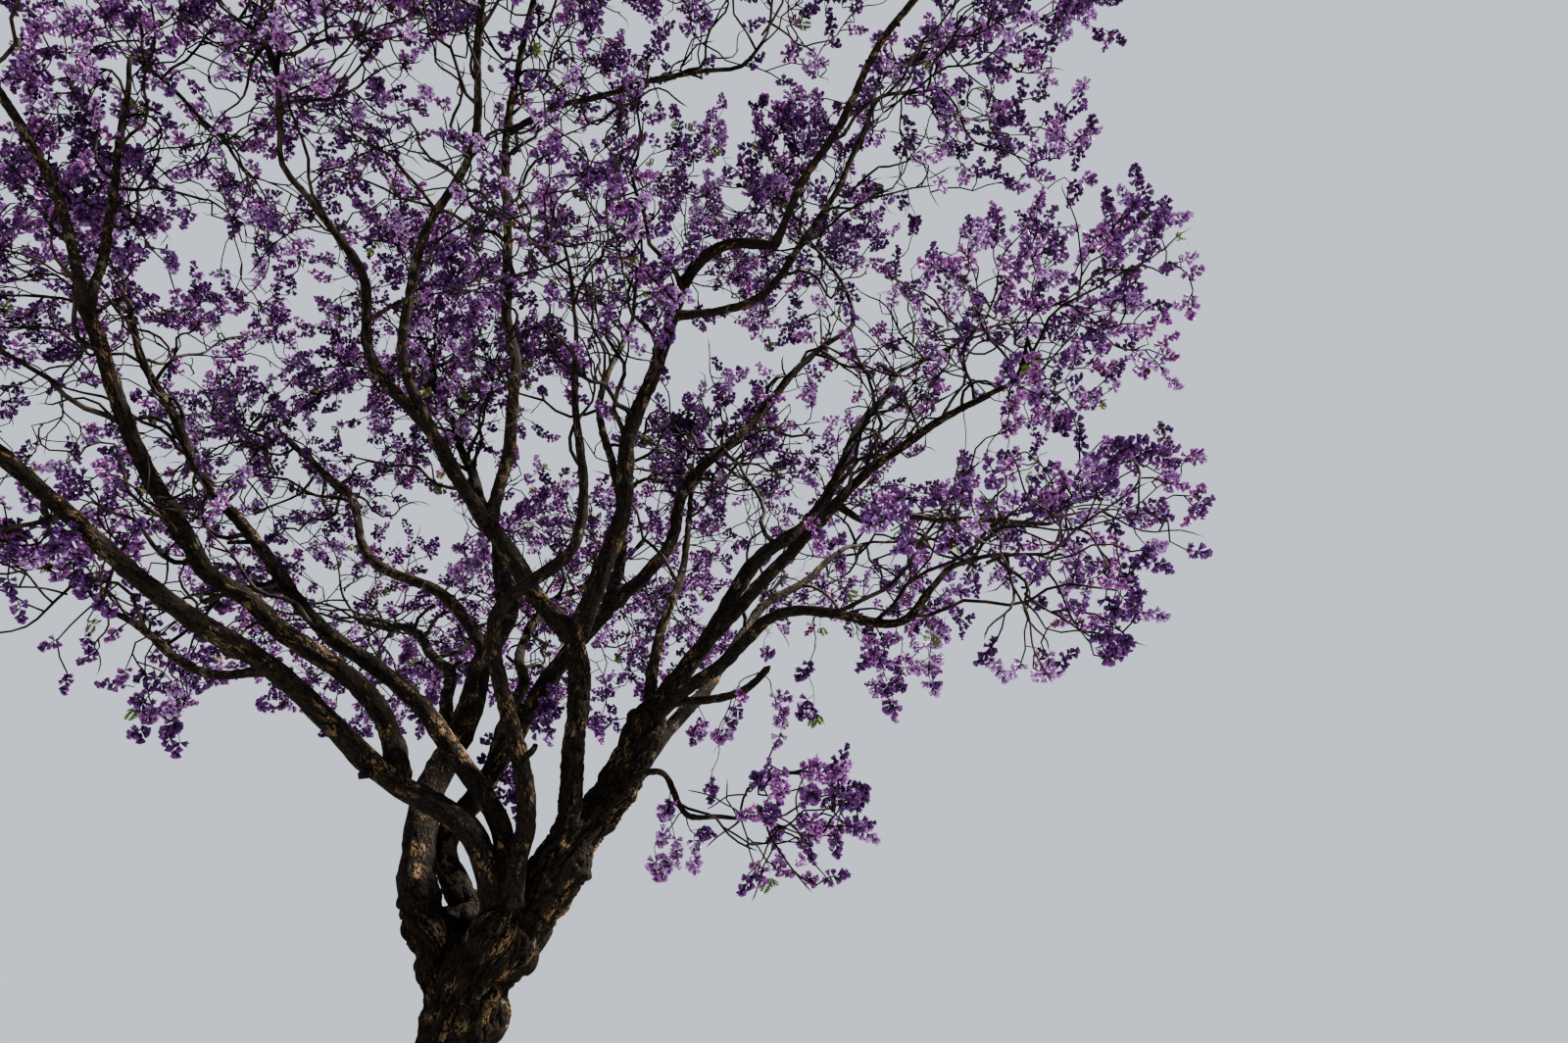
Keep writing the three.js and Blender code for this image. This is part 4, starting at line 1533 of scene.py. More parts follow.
@dataclass(frozen=True)
class Knot:
    """A burl on a limb's side, where a branch was lost.

    Its place is a distance along the limb, or a height where the limb has no name and the trunk is
    meant. Heading and rise say where it stands out to, in degrees, and sunk how deep its middle
    lies under the bark, for its radius.
    """

    limb: str
    at: float
    heading: float
    rise: float
    size: float
    sunk: float = 0.6

    def part(self, limbs: dict[str, Limb]) -> Piece:
        """Makes the burl as a ball that stands half out of the limb.

        Args:
            limbs: All limbs by name.

        Returns:
            The ball.
        """
        if self.limb:
            limb = limbs[self.limb]
            middle, radius = limb.line.point(self.at), float(limb.radius(np.array(self.at)))
        else:
            middle = TRUNK.middle(np.array(self.at))
            radius = float(TRUNK.radius(np.array(self.at), np.array(0.0)))
        place = middle + toward(self.heading, self.rise) * (radius - self.sunk * self.size)
        deselect_all()
        bpy.ops.mesh.primitive_ico_sphere_add(subdivisions=3, radius=self.size, location=place)
        bpy.ops.object.transform_apply(location=True, rotation=True, scale=True)
        return bpy.context.object


@dataclass(frozen=True)
class Fork:
    """Thick limbs under one skin with the first stretches of those that leave them.

    The skin stands for the node and covers the limbs whole. It is as fine as voxel, rounding passes
    soften its crotches, and the trunk's column starts below the ground and is cut flat at cut_at.
    """

    node: str
    limbs: tuple[str, ...]
    voxel: float
    rounding: int
    knots: tuple[Knot, ...]
    below: float = 0.0
    cut_at: float = 0.001

    def skins(self, limbs: dict[str, Limb]) -> list[Skin]:
        """Gathers the skins that are joined in it.

        Args:
            limbs: All limbs by name.

        Returns:
            Those of its limbs, and of the first stretches of the limbs on them.
        """
        skins = [Skin.of_column(self.below)] if self.below else []
        for limb in limbs.values():
            sizes = limb.sizes
            if sizes.name in self.limbs:
                skins.append(Skin.of_limb(limb, limbs, False, bool(sizes.parent)))
            elif sizes.parent in self.limbs:
                skins.append(Skin.of_limb(limb, limbs, True, True))
        return skins

    def grain(self, points: Array, skins: list[Skin]) -> tuple[Array, Array]:
        """Finds the places along the grain of the nearest limb.

        Args:
            points: Points on the joined skin.
            skins: The limbs that it was joined from.

        Returns:
            Their places on straight skins, and the radius of the limb that each is on.
        """
        nearest = np.full(len(points), np.inf)
        found, girth = np.zeros((len(points), 3)), np.zeros(len(points))
        for skin in skins:
            middles = skin.line.points(skin.marks)
            radii = skin.radius(skin.marks, 0 * skin.marks)
            for first in range(0, len(points), BLOCK):
                some = slice(first, first + BLOCK)
                gaps = np.linalg.norm(points[some, None] - middles, axis=-1) - radii
                station = np.argmin(gaps, axis=1)
                gap = gaps[np.arange(len(station)), station]
                offset = points[some] - middles[station]
                x = np.sum(offset * skin.first[station], axis=1)
                y = np.sum(offset * skin.second[station], axis=1)
                out = skin.middling / np.maximum(np.hypot(x, y), TINY)
                along = skin.marks[station] + np.sum(offset * skin.ways[station], axis=1)
                place = np.stack([x * out, y * out, along], axis=-1) + skin.offset
                closer = gap < nearest[some]
                nearest[some] = np.where(closer, gap, nearest[some])
                found[some] = np.where(closer[:, None], place, found[some])
                girth[some] = np.where(closer, radii[station], girth[some])
        return found, girth

    def build(self, limbs: dict[str, Limb], name: str) -> Piece:
        """Joins the limbs under one skin with bark.

        Args:
            limbs: All limbs by name.
            name: The piece's name.

        Returns:
            The new object.
        """
        skins = self.skins(limbs)
        parts = [skin.part() for skin in skins] + [knot.part(limbs) for knot in self.knots]
        deselect_all()
        for part in parts:
            part.select_set(True)
        bpy.context.view_layer.objects.active = parts[0]
        bpy.ops.object.join()
        piece = bpy.context.object
        piece.name = piece.data.name = name
        apply_modifier(piece, "REMESH", mode="VOXEL", voxel_size=self.voxel)
        apply_modifier(piece, "SMOOTH", factor=0.5, iterations=self.rounding)
        points = coordinates_of(piece)
        grain, girth = self.grain(points, skins)
        height, raised = Relief.for_girth(float(np.percentile(girth, SKIN.girth_rank))).read(grain)
        normals = np.empty(len(points) * 3, np.float32)
        piece.data.vertices.foreach_get("normal", normals)
        put_coordinates(piece, points + normals.reshape(-1, 3) * height[:, None])
        keep_values(piece.data, "grain", grain)
        keep_values(piece.data, "raised", raised)
        if self.below:
            self.cut_flat(piece)
        take(piece)
        bpy.ops.object.shade_smooth()
        return piece

    def cut_flat(self, piece: Piece) -> None:
        """Cuts the trunk flat at the ground.

        Args:
            piece: The trunk's skin, which is changed.
        """
        take(piece)
        bpy.ops.object.mode_set(mode="EDIT")
        bpy.ops.mesh.select_all(action="SELECT")
        bpy.ops.mesh.bisect(plane_co=(0, 0, self.cut_at), plane_no=(0, 0, 1), use_fill=True,
                            clear_inner=True)
        bpy.ops.object.mode_set(mode="OBJECT")


FORKS = (
    Fork("trunk", tuple(sizes.name for sizes in ARMS), voxel=0.02, rounding=12, below=0.06, knots=(
        Knot("", 2.1, 15, -10, 0.26, 0.5),
        Knot("", 2.35, -70, 5, 0.2),
        Knot("", 1.5, 195, 0, 0.22),
        Knot("", 1.2, -20, 0, 0.22, 0.7),
        Knot("right_arm", 0.7, -50, -10, 0.2),
        Knot("left_arm", 0.5, 205, 0, 0.2),
        Knot("front_arm", 0.7, -100, 10, 0.18),
        Knot("rear_arm", 0.7, 200, 20, 0.18),
    )),
    Fork("right_main", ("right_main",), voxel=0.022, rounding=5, knots=(
        Knot("right_main", 1.12, -45, 0, 0.13, 0.35),
        Knot("right_main", 0.45, -20, -20, 0.16),
        Knot("right_main", 1.75, -120, 30, 0.13),
    )),
    Fork("mid_upright", ("mid_upright",), voxel=0.018, rounding=4, knots=(
        Knot("mid_upright", 0.9, -60, 0, 0.09),
        Knot("mid_upright", 1.6, 100, 0, 0.08),
    )),
)


# Blossom, leaves and pods


LOBES = 5


@dataclass(frozen=True)
class Copies:
    """Where the copies of a small shape stand, where their +Z points, and their turns about it."""

    places: Array
    ways: Array
    rolls: Array
    sizes: Array

    def chosen(self, which: Array) -> "Copies":
        """Takes some of the copies."""
        return Copies(self.places[which], self.ways[which], self.rolls[which], self.sizes[which])


@dataclass(frozen=True)
class Shape:
    """A small shape, a unit long along +Z, with painted light on each vertex, from 0 in painted shade to
    1 lit.
    """

    points: Array
    faces: Array
    painted_light: Array

    @staticmethod
    def trumpet(rim: Sequence[Point], foot: float) -> "Shape":
        """Makes a trumpet that opens toward +Z.

        Args:
            rim: Reach, height and painted light of each point round its mouth.
            foot: Painted light of its foot, which lies in painted shade.

        Returns:
            The shape.
        """
        points, painted_light = [(0.0, 0.0, 0.0)], [foot]
        for i, (out, height, light) in enumerate(rim):
            angle = 2 * math.pi * i / len(rim)
            points.append((out * math.cos(angle), out * math.sin(angle), height))
            painted_light.append(light)
        faces = [(0, 1 + i, 1 + (i + 1) % len(rim)) for i in range(len(rim))]
        return Shape(np.array(points), np.array(faces), np.array(painted_light))

    @staticmethod
    def flower() -> "Shape":
        """Makes an open flower with lobes and notches round its mouth."""
        # The third number of each rim point is its painted light: lobes lit, the notches between them in
        # painted shade.
        lobe, notch = (0.46, 1.0, 1.0), (0.27, 0.8, 0.6)
        return Shape.trumpet((lobe, notch) * LOBES, 0.0)

    @staticmethod
    def opening_flower() -> "Shape":
        """Makes a younger flower, whose lobes aren't spread yet."""
        # The third number is the lobes' painted light; the foot below them is in painted shade.
        lobe = (0.42, 0.95, 0.8)
        return Shape.trumpet((lobe,) * LOBES, 0.1)

    @staticmethod
    def leaf() -> "Shape":
        """Makes a young feathered leaf: pairs of narrow leaflets on a rib.

        Returns:
            The shape.
        """
        pairs, rib_width, lowest, span, longest = 6, 0.012, 0.15, 0.75, 0.42
        points: list[Point] = [(-rib_width, 0, 0), (rib_width, 0, 0), (0, 0, 1)]
        faces = [(0, 1, 2)]
        # Painted light on each point: painted shade at the foot of the rib and of each leaflet, lit
        # toward the tips.
        painted_light = [0.0, 0.0, 1.0]
        for i in range(pairs):
            at = lowest + span * i / (pairs - 1)
            length = longest * math.sin(math.pi * (0.25 + 0.6 * i / pairs))
            for side in (-1, 1):
                base = len(points)
                points += [(0, 0, at), (side * length * 0.5, 0.08 * length, at - 0.05),
                           (side * length, -0.1 * length, at + 0.4 * length),
                           (side * length * 0.45, 0.05 * length, at + 0.4 * length)]
                painted_light += [0.2, 0.7, 1.0, 0.7]
                faces += [(base, base + 1, base + 2), (base, base + 2, base + 3)]
        return Shape(np.array(points, float), np.array(faces), np.array(painted_light))

    @staticmethod
    def pod() -> "Shape":
        """Makes a flat round pod on a short stalk, with its edge toward the stalk.

        Returns:
            The shape.
        """
        sides, wide, thick, middle = 10, 0.36, 0.09, 0.64
        points = [(0.0, thick, middle), (0.0, -thick, middle), (0.0, 0.0, 0.0)]
        # Painted light on each point: lit on the middle of both faces, in painted shade at the rim and
        # the stalk.
        painted_light = [0.7, 0.7, 0.0]
        for i in range(sides):
            angle = 2 * math.pi * i / sides
            points.append((wide * math.sin(angle), 0.0, middle - wide * math.cos(angle)))
            painted_light.append(0.2)
        rim = [3 + i for i in range(sides)]
        faces = []
        for i, here in enumerate(rim):
            ahead = rim[(i + 1) % sides]
            faces += [(0, ahead, here), (1, here, ahead)]
        points += [(0.025, 0.0, 0.0), (-0.012, 0.022, 0.0), (-0.012, -0.022, 0.0)]
        painted_light += [0.0, 0.0, 0.0]
        stalk = len(points) - 3
        faces += [(stalk, stalk + 1, 3), (stalk + 1, stalk + 2, 3), (stalk + 2, stalk, 3)]
        return Shape(np.array(points), np.array(faces), np.array(painted_light))


def copied(name: str, parts: Sequence[tuple[Shape, Copies]], smooth: bool) -> Piece:
    """Joins many turned copies of some shapes into one mesh.

    Args:
        name: The object's name.
        parts: Each shape with where its copies stand.
        smooth: Whether the faces are shaded smooth.

    Returns:
        The new object.
    """
    points, faces, painted_lights, offset = [], [], [], 0
    for shape, copies in parts:
        side, up = across_of(copies.ways)
        rolls = copies.rolls[:, None]
        first = side * np.cos(rolls) + up * np.sin(rolls)
        turn = np.stack([first, np.cross(copies.ways, first), copies.ways], axis=1)
        placed = np.einsum("vk,nkd->nvd", shape.points, turn) * copies.sizes[:, None, None]
        points.append((placed + copies.places[:, None]).reshape(-1, 3))
        starts = offset + len(shape.points) * np.arange(len(copies.places))
        faces.append((shape.faces + starts[:, None, None]).reshape(-1, 3))
        painted_lights.append(np.tile(shape.painted_light, len(copies.places)))
        offset += len(points[-1])
    values = {"painted_light": np.concatenate(painted_lights)}
    return mesh_object(name, np.concatenate(points), faces, smooth, values)


class Load(Enum):
    """What the end of a fine branch carries."""

    BARE = 0
    LEAVES = 1
    BLOSSOM = 2


@dataclass(frozen=True)
class Panicle:
    """A dense spike of flowers round the end of a twig.

    Length and size, a flower's, are least and most. The flowers' angle from the twig goes from
    low_angle to top_angle, in radians, and play turns them round it. Small is the last one's size
    for the first, spread the share of the spike where they are open, and most the most share of
    the twig that it takes.
    """

    length: Span = (0.11, 0.2)
    flowers: int = 12
    size: Span = (0.055, 0.078)
    low_angle: float = 1.75
    top_angle: float = 0.3
    droop: float = 0.2
    small: float = 0.8
    spread: float = 0.17
    most: float = 0.95
    play: float = 0.8

    def dress(self, wood: Wood, random: np.random.Generator) -> tuple[Copies, Array]:
        """Places the flowers of every twig.

        Args:
            wood: The twigs.
            random: Source of what differs.

        Returns:
            Where the flowers stand, those of one twig together, and whether each is open.
        """
        count = len(wood.mass)
        spike = np.minimum(random.uniform(*self.length, count), self.most * wood.lengths())
        step = (np.arange(self.flowers) + random.uniform(0, 1, (count, self.flowers))) / self.flowers
        share = 1 - (1 - step) * (spike / wood.lengths())[:, None]
        branch = np.repeat(np.arange(count), self.flowers)
        places, along, _ = wood.at(branch, share.ravel())
        step = step.ravel()
        angle = self.low_angle + (self.top_angle - self.low_angle) * step
        roll = np.arange(len(branch)) * GOLDEN_ANGLE + random.uniform(0, self.play, len(branch))
        ways = unit(turned(along, angle, roll) - UP * self.droop)
        sizes = random.uniform(*self.size, len(branch)) * (1 - (1 - self.small) * step)
        rolls = random.uniform(0, 2 * math.pi, len(branch))
        return Copies(places, ways, rolls, sizes), step < self.spread


# Finishes


class Value:
    """A shader's number that adds its Math nodes as it is reckoned with."""

    def __init__(self, shader: "Shader", socket: Socket) -> None:
        """Wraps a socket."""
        self.shader = shader
        self.socket = socket

    def reckoned(self, operation: str, first: "Value | float", second: "Value | float") -> "Value":
        """Adds one Math node."""
        node = self.shader.node("ShaderNodeMath", {"operation": operation}, {0: first, 1: second})
        return Value(self.shader, node.outputs[0])

    def __add__(self, other: "Value | float") -> "Value":
        """Adds."""
        return self.reckoned("ADD", self, other)

    def __sub__(self, other: "Value | float") -> "Value":
        """Subtracts."""
        return self.reckoned("SUBTRACT", self, other)

    def __rsub__(self, other: "Value | float") -> "Value":
        """Subtracts this from a number."""
        return self.reckoned("SUBTRACT", other, self)

    def __mul__(self, other: "Value | float") -> "Value":
        """Multiplies."""
        return self.reckoned("MULTIPLY", self, other)

    def __abs__(self) -> "Value":
        """Drops the sign."""
        return self.reckoned("ABSOLUTE", self, 0.0)

    __radd__ = __add__
    __rmul__ = __mul__

    def between(self, low: float, high: float) -> "Value":
        """Stretches a part of it over 0 to 1, with soft ends.

        Args:
            low: Where the part starts.
            high: Where it ends.

        Returns:
            The new number.
        """
        node = self.shader.node(
            "ShaderNodeMapRange", {"interpolation_type": "SMOOTHSTEP"},
            {"Value": self, "From Min": low, "From Max": high})
        return Value(self.shader, node.outputs["Result"])


class Shader:
    """One material, with a method for each kind of node that the finishes use."""

    def __init__(self, name: str) -> None:
        """Starts a material with a Principled shader.

        Args:
            name: The material's name.
        """
        self.material = bpy.data.materials.new(name)
        self.material.use_nodes = True
        self.tree = self.material.node_tree
        self.tree.nodes.clear()
        self.surface = self.node("ShaderNodeBsdfPrincipled")
        self.node("ShaderNodeOutputMaterial", inputs={"Surface": self.surface.outputs[0]})

    def node(self, kind: str, settings: dict[str, object] | None = None,
             inputs: dict[str | int, object] | None = None) -> Node:
        """Adds a node.

        Args:
            kind: The node's type.
            settings: Its own settings, which are set first.
            inputs: Values or links for its sockets, by name or number.

        Returns:
            The new node.
        """
        node = self.tree.nodes.new(kind)
        for name, value in (settings or {}).items():
            setattr(node, name, value)
        for name, value in (inputs or {}).items():
            self.feed(node.inputs[name], value)
        return node

    def feed(self, socket: Socket, value: object) -> None:
        """Links a value to a socket, or sets a plain one.

        Args:
            socket: The socket.
            value: A Value, another node's socket, a colour or a number.
        """
        if isinstance(value, Value):
            value = value.socket
        if isinstance(value, Socket):
            self.tree.links.new(value, socket)
        elif socket.type == "RGBA":
            socket.default_value = (*value, 1.0)
        else:
            socket.default_value = value

    def kept(self, label: str) -> Node:
        """Reads what is kept on the vertices under a name."""
        return self.node("ShaderNodeAttribute", {"attribute_name": label})

    def kept_number(self, label: str) -> Value:
        """Reads a number that is kept on the vertices."""
        return Value(self, self.kept(label).outputs["Fac"])

    def here(self) -> Socket:
        """Gives the place on the object."""
        return self.node("ShaderNodeTexCoord").outputs["Object"]

    def scaled(self, place: object, scale: Point) -> Socket:
        """Scales a place in each direction."""
        node = self.node("ShaderNodeVectorMath", {"operation": "MULTIPLY"}, {0: place, 1: scale})
        return node.outputs[0]

    def noise(self, place: object, scale: float, detail: float = 3.0) -> Value:
        """Reads soft noise at a place."""
        node = self.node("ShaderNodeTexNoise", inputs={"Vector": place, "Scale": scale, "Detail": detail})
        return Value(self, node.outputs["Fac"])

    def furrows(self, place: object, scale: float, edge: float) -> Value:
        """Reads long plates at a place: 0 in the cracks between them and 1 on them."""
        return abs(self.noise(place, scale, 1.0) - 0.5).between(0.0, edge)

    def mixed(self, share: object, one: object, other: object) -> Socket:
        """Mixes two colours."""
        node = self.node("ShaderNodeMix", {"data_type": "RGBA"}, {0: share, 6: one, 7: other})
        return node.outputs[2]

    def dress(self, colour: object, roughness: object, height: object = None, strength: float = 0.5,
              distance: float = 0.01, gloss: float = 0.15) -> Material:
        """Feeds the surface.

        Args:
            colour: Base colour.
            roughness: Roughness.
            height: Height of the fine relief, if any.
            strength: How strongly that shows.
            distance: How high 1 of it stands, in metres.
            gloss: How strongly it mirrors light.

        Returns:
            The finished material.
        """
        self.feed(self.surface.inputs["Specular IOR Level"], gloss)
        self.feed(self.surface.inputs["Base Color"], colour)
        self.feed(self.surface.inputs["Roughness"], roughness)
        if height is not None:
            bump = self.node("ShaderNodeBump", inputs={
                "Strength": strength, "Distance": distance, "Height": height})
            self.feed(self.surface.inputs["Normal"], bump.outputs[0])
        return self.material


@dataclass(frozen=True)
class BarkFinish:
    """Furrowed bark, darkest in its cracks, with warm flakes and grey lichen on the raised plates. The
    dark cracks are partly painted shade, and the warm flakes and lichen partly painted sunlit flecks and
    patches.

    Plates, fibres, the spots of warm flakes and painted sunlit flecks, and the patches of lichen and
    painted sunlit patches are counted for each metre across the grain, and scales for each plate.
    Stretch is the length of a plate for its width.
    """

    name: str
    crack: Colour = (0.004, 0.003, 0.0025)
    ridge: Colour = (0.022, 0.016, 0.011)
    warm: Colour = (0.22, 0.142, 0.075)
    lichen_and_painted_sun: Colour = (0.16, 0.145, 0.10)
    plates: float = 32.0
    stretch: float = 2.6
    scales: float = 2.3
    fibres: float = 95.0
    fibre_stretch: float = 2.5
    spots: float = 9.0
    patches: float = 5.5
    lichen_and_painted_sun_from: float = 0.62
    relief: float = 0.9

    @staticmethod
    def of_young_wood(name: str) -> "BarkFinish":
        """Gives the smoother bark of thin limbs."""
        return BarkFinish(name, ridge=(0.024, 0.017, 0.012), warm=(0.21, 0.13, 0.075),
                          plates=50.0, stretch=2.2, lichen_and_painted_sun_from=0.54, relief=0.6)

    def make(self) -> Material:
        """Makes the material, which follows the grain and how raised the bark is, kept on each limb.

        Returns:
            The finished material.
        """
        shader = Shader(self.name)
        grain = shader.kept("grain").outputs["Vector"]
        long_grain = shader.scaled(grain, (1.0, 1.0, 1 / self.stretch))
        plate = shader.furrows(long_grain, self.plates, edge=0.10)
        scale = shader.furrows(long_grain, self.scales * self.plates, edge=0.16)
        fibre_grain = shader.scaled(grain, (1.0, 1.0, 1 / self.fibre_stretch))
        fibre = shader.noise(fibre_grain, self.fibres, detail=5.0)
        raised = shader.kept_number("raised") * 0.45 + plate * 0.4 + scale * 0.25 + (fibre - 0.5) * 0.8
        # Darker toward the cracks and furrows: partly the bark's own darker cracks, partly painted shade
        # in them.
        colour = shader.mixed(raised.between(0.15, 1.15), self.crack, self.ridge)
        # Warm spots on the raised plates: partly warm flakes, partly painted sunlit flecks.
        spot = shader.noise(long_grain, self.spots, detail=5.0).between(0.52, 0.62)
        colour = shader.mixed(spot * raised.between(0.6, 1.0) * 0.65, colour, self.warm)
        # Pale patches on the raised plates: partly grey lichen, partly painted sunlit patches.
        patch = shader.noise(grain, self.patches, detail=6.0)
        patch = patch.between(self.lichen_and_painted_sun_from, self.lichen_and_painted_sun_from + 0.07)
        colour = shader.mixed(patch * raised.between(0.4, 1.0) * 0.7, colour, self.lichen_and_painted_sun)
        height = plate * 0.6 + scale * 0.35 + fibre * 0.5
        return shader.dress(colour, 0.95, height, strength=self.relief, distance=0.02)


@dataclass(frozen=True)
class TwigFinish:
    """Thin dark wood with fine scars."""

    name: str = "twig_wood"
    dark: Colour = (0.005, 0.0033, 0.0028)
    light: Colour = (0.055, 0.040, 0.030)
    patches: float = 6.0
    scars: float = 90.0

    def make(self) -> Material:
        """Makes the material.

        Returns:
            The finished material.
        """
        shader = Shader(self.name)
        here = shader.here()
        broad = shader.noise(here, self.patches).between(0.35, 0.7)
        scars = shader.noise(here, self.scars)
        share = broad * 0.7 + (scars - 0.5) * 0.6
        colour = shader.mixed(share.between(0.0, 1.0), self.dark, self.light)
        return shader.dress(colour, 0.85, scars, strength=0.4, distance=0.003)


@dataclass(frozen=True)
class SoftFinish:
    """Petals, leaflets or pods: a base colour that lightens from the foot to the edge, which is painted
    shading, with bright and dark flecks that are partly random tone and partly painted light and shade.
    """

    name: str
    inner: Colour
    outer: Colour
    roughness: float = 0.6
    # How many flecks stand in each metre: partly random tone, partly painted lit and shaded flowers; they
    # also drive the bump.
    flecks: float = 45.0

    def make(self) -> Material:
        """Makes the material, which follows the painted light kept on each shape.

        Returns:
            The finished material.
        """
        shader = Shader(self.name)
        # Bright and dark flecks: partly random tone, partly painted light and shade on single flowers.
        fine = shader.noise(shader.here(), self.flecks, detail=2.0)
        # The painted shading kept on each shape, mixed with the flecks, picks between the foot and edge
        # colours.
        share = shader.kept_number("painted_light") * 0.75 + (fine - 0.5) * 1.5
        colour = shader.mixed(share.between(0.0, 0.9), self.inner, self.outer)
        return shader.dress(colour, self.roughness, fine, strength=0.15, distance=0.004)


@dataclass(frozen=True)
class PlainFinish:
    """The plain pale floor."""

    name: str = "pale_floor"
    colour: Colour = (0.34, 0.345, 0.35)

    def make(self) -> Material:
        """Makes the material."""
        return Shader(self.name).dress(self.colour, 0.9)


# Foot colours for the painted shade, edge colours for the lit parts.
LEAF_FINISH = SoftFinish("young_leaf", (0.035, 0.055, 0.010), (0.14, 0.18, 0.032), 0.5, 30.0)
POD_FINISH = SoftFinish("pod", (0.015, 0.009, 0.006), (0.06, 0.036, 0.024), 0.6, 60.0)


class Tint(Enum):
    """The tints of blossom, dealt out by spray, with each one's foot and edge colours. They run from dark
    to light and stand partly for hue, partly for painted shade and light on whole sprays.
    """

    # From painted shade to painted light, each with a hue of its own.
    SHADED_PURPLE = ((0.022, 0.008, 0.034), (0.15, 0.052, 0.21))
    HALF_SHADED_VIOLET = ((0.038, 0.014, 0.058), (0.24, 0.096, 0.31))
    HALF_LIT_PINK = ((0.058, 0.016, 0.070), (0.43, 0.17, 0.46))
    LIT_LILAC = ((0.080, 0.032, 0.110), (0.60, 0.36, 0.70))

    def finish(self) -> SoftFinish:
        """Gives the tint's finish."""
        inner, outer = self.value
        return SoftFinish(f"petal_{self.name.lower()}", inner, outer)


# Shares of the tints, from the darkest, shaded one to the lightest, lit one.
TINT_SHARES = (0.27, 0.28, 0.22, 0.23)


def settle(piece: Piece, finish: Material, slot: Slot, nodes: Sequence[str]) -> None:
    """Gives a piece its finish, lets it ride with the tree and stand for its nodes.

    Args:
        piece: The finished piece.
        finish: Its material.
        slot: The record's slot, which is not used.
        nodes: The nodes that it stands for.
    """
    piece.data.materials.clear()
    piece.data.materials.append(finish)
    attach(piece, BODY)
    if nodes:
        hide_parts(*nodes)
    log.info("%s: %d triangles", piece.name, triangles_in(piece))


# The tree's sub-assemblies


@dataclass
class BarkWork:
    """The trunk and boughs in their bark, and the stubs of dead twigs on them.

    Limbs thinner than young_girth have the younger bark. A stub stands at a share of its bough and
    an angle from it in radians, and stub_girth is its radius at its root and end for the bough's.
    """

    limbs: dict[str, Limb]
    young_girth: float = 0.065
    stubs: int = 26
    stub_at: Span = (0.15, 0.75)
    stub_angle: Span = (0.8, 1.3)
    stub_length: Span = (0.06, 0.2)
    stub_bow: float = 0.02
    stub_girth: Span = (0.45, 0.3)
    stub_raised: float = 0.6
    stub_rings: int = 5
    stub_sides: int = 8
    seed: int = 23

    def build(self) -> None:
        """Builds and dresses the trunk and each bough."""
        old, young = BarkFinish("bark_old"), BarkFinish.of_young_wood("bark_young")
        old_bark, young_bark = old.make(), young.make()
        joined = {fork.node: fork for fork in FORKS}
        forked = {name for fork in FORKS for name in fork.limbs}
        settle(joined["trunk"].build(self.limbs, "bark_trunk"), old_bark, Slot.BARK, ["trunk"])
        for sizes in BOUGHS:
            name = f"bark_{sizes.name}"
            if sizes.name in joined:
                piece = joined[sizes.name].build(self.limbs, name)
            else:
                on_fork = sizes.parent in forked
                skin = Skin.of_limb(self.limbs[sizes.name], self.limbs, False, on_fork)
                piece = skin.build(name)
            bark = young_bark if sizes.girth < self.young_girth else old_bark
            settle(piece, bark, Slot.BARK, [sizes.name])
        settle(self.dead_stubs(), old_bark, Slot.BARK, [])

    def dead_stubs(self) -> Piece:
        """Makes the short dead stubs of lost twigs on the boughs.

        Returns:
            All of them as one piece, with their grain and how raised their bark is kept on their
            vertices.
        """
        random = np.random.default_rng(self.seed)
        share = np.linspace(0, 1, self.stub_rings)[:, None]
        paths, radii = [], []
        for _ in range(self.stubs):
            limb = self.limbs[random.choice([sizes.name for sizes in BOUGHS])]
            at = random.uniform(*self.stub_at) * limb.line.length
            girth = float(limb.radius(np.array(at)))
            angle, roll = random.uniform(*self.stub_angle), random.uniform(0, 2 * math.pi)
            way = turned(limb.line.way(at), np.array(angle), np.array(roll))
            length = girth + random.uniform(*self.stub_length)
            bow = np.sin(share * math.pi) * random.normal(0, self.stub_bow, 3)
            paths.append(limb.line.point(at) + way * share * length + bow)
            radii.append(np.linspace(*self.stub_girth, self.stub_rings) * girth)
        wood = Wood(np.array(paths), np.array(radii), np.zeros(self.stubs, int))
        stubs = tubes("dead_stubs", [(wood, self.stub_sides)], blunt=True)
        keep_values(stubs.data, "grain", coordinates_of(stubs))
        keep_values(stubs.data, "raised", np.full(len(stubs.data.vertices), self.stub_raised))
        return stubs


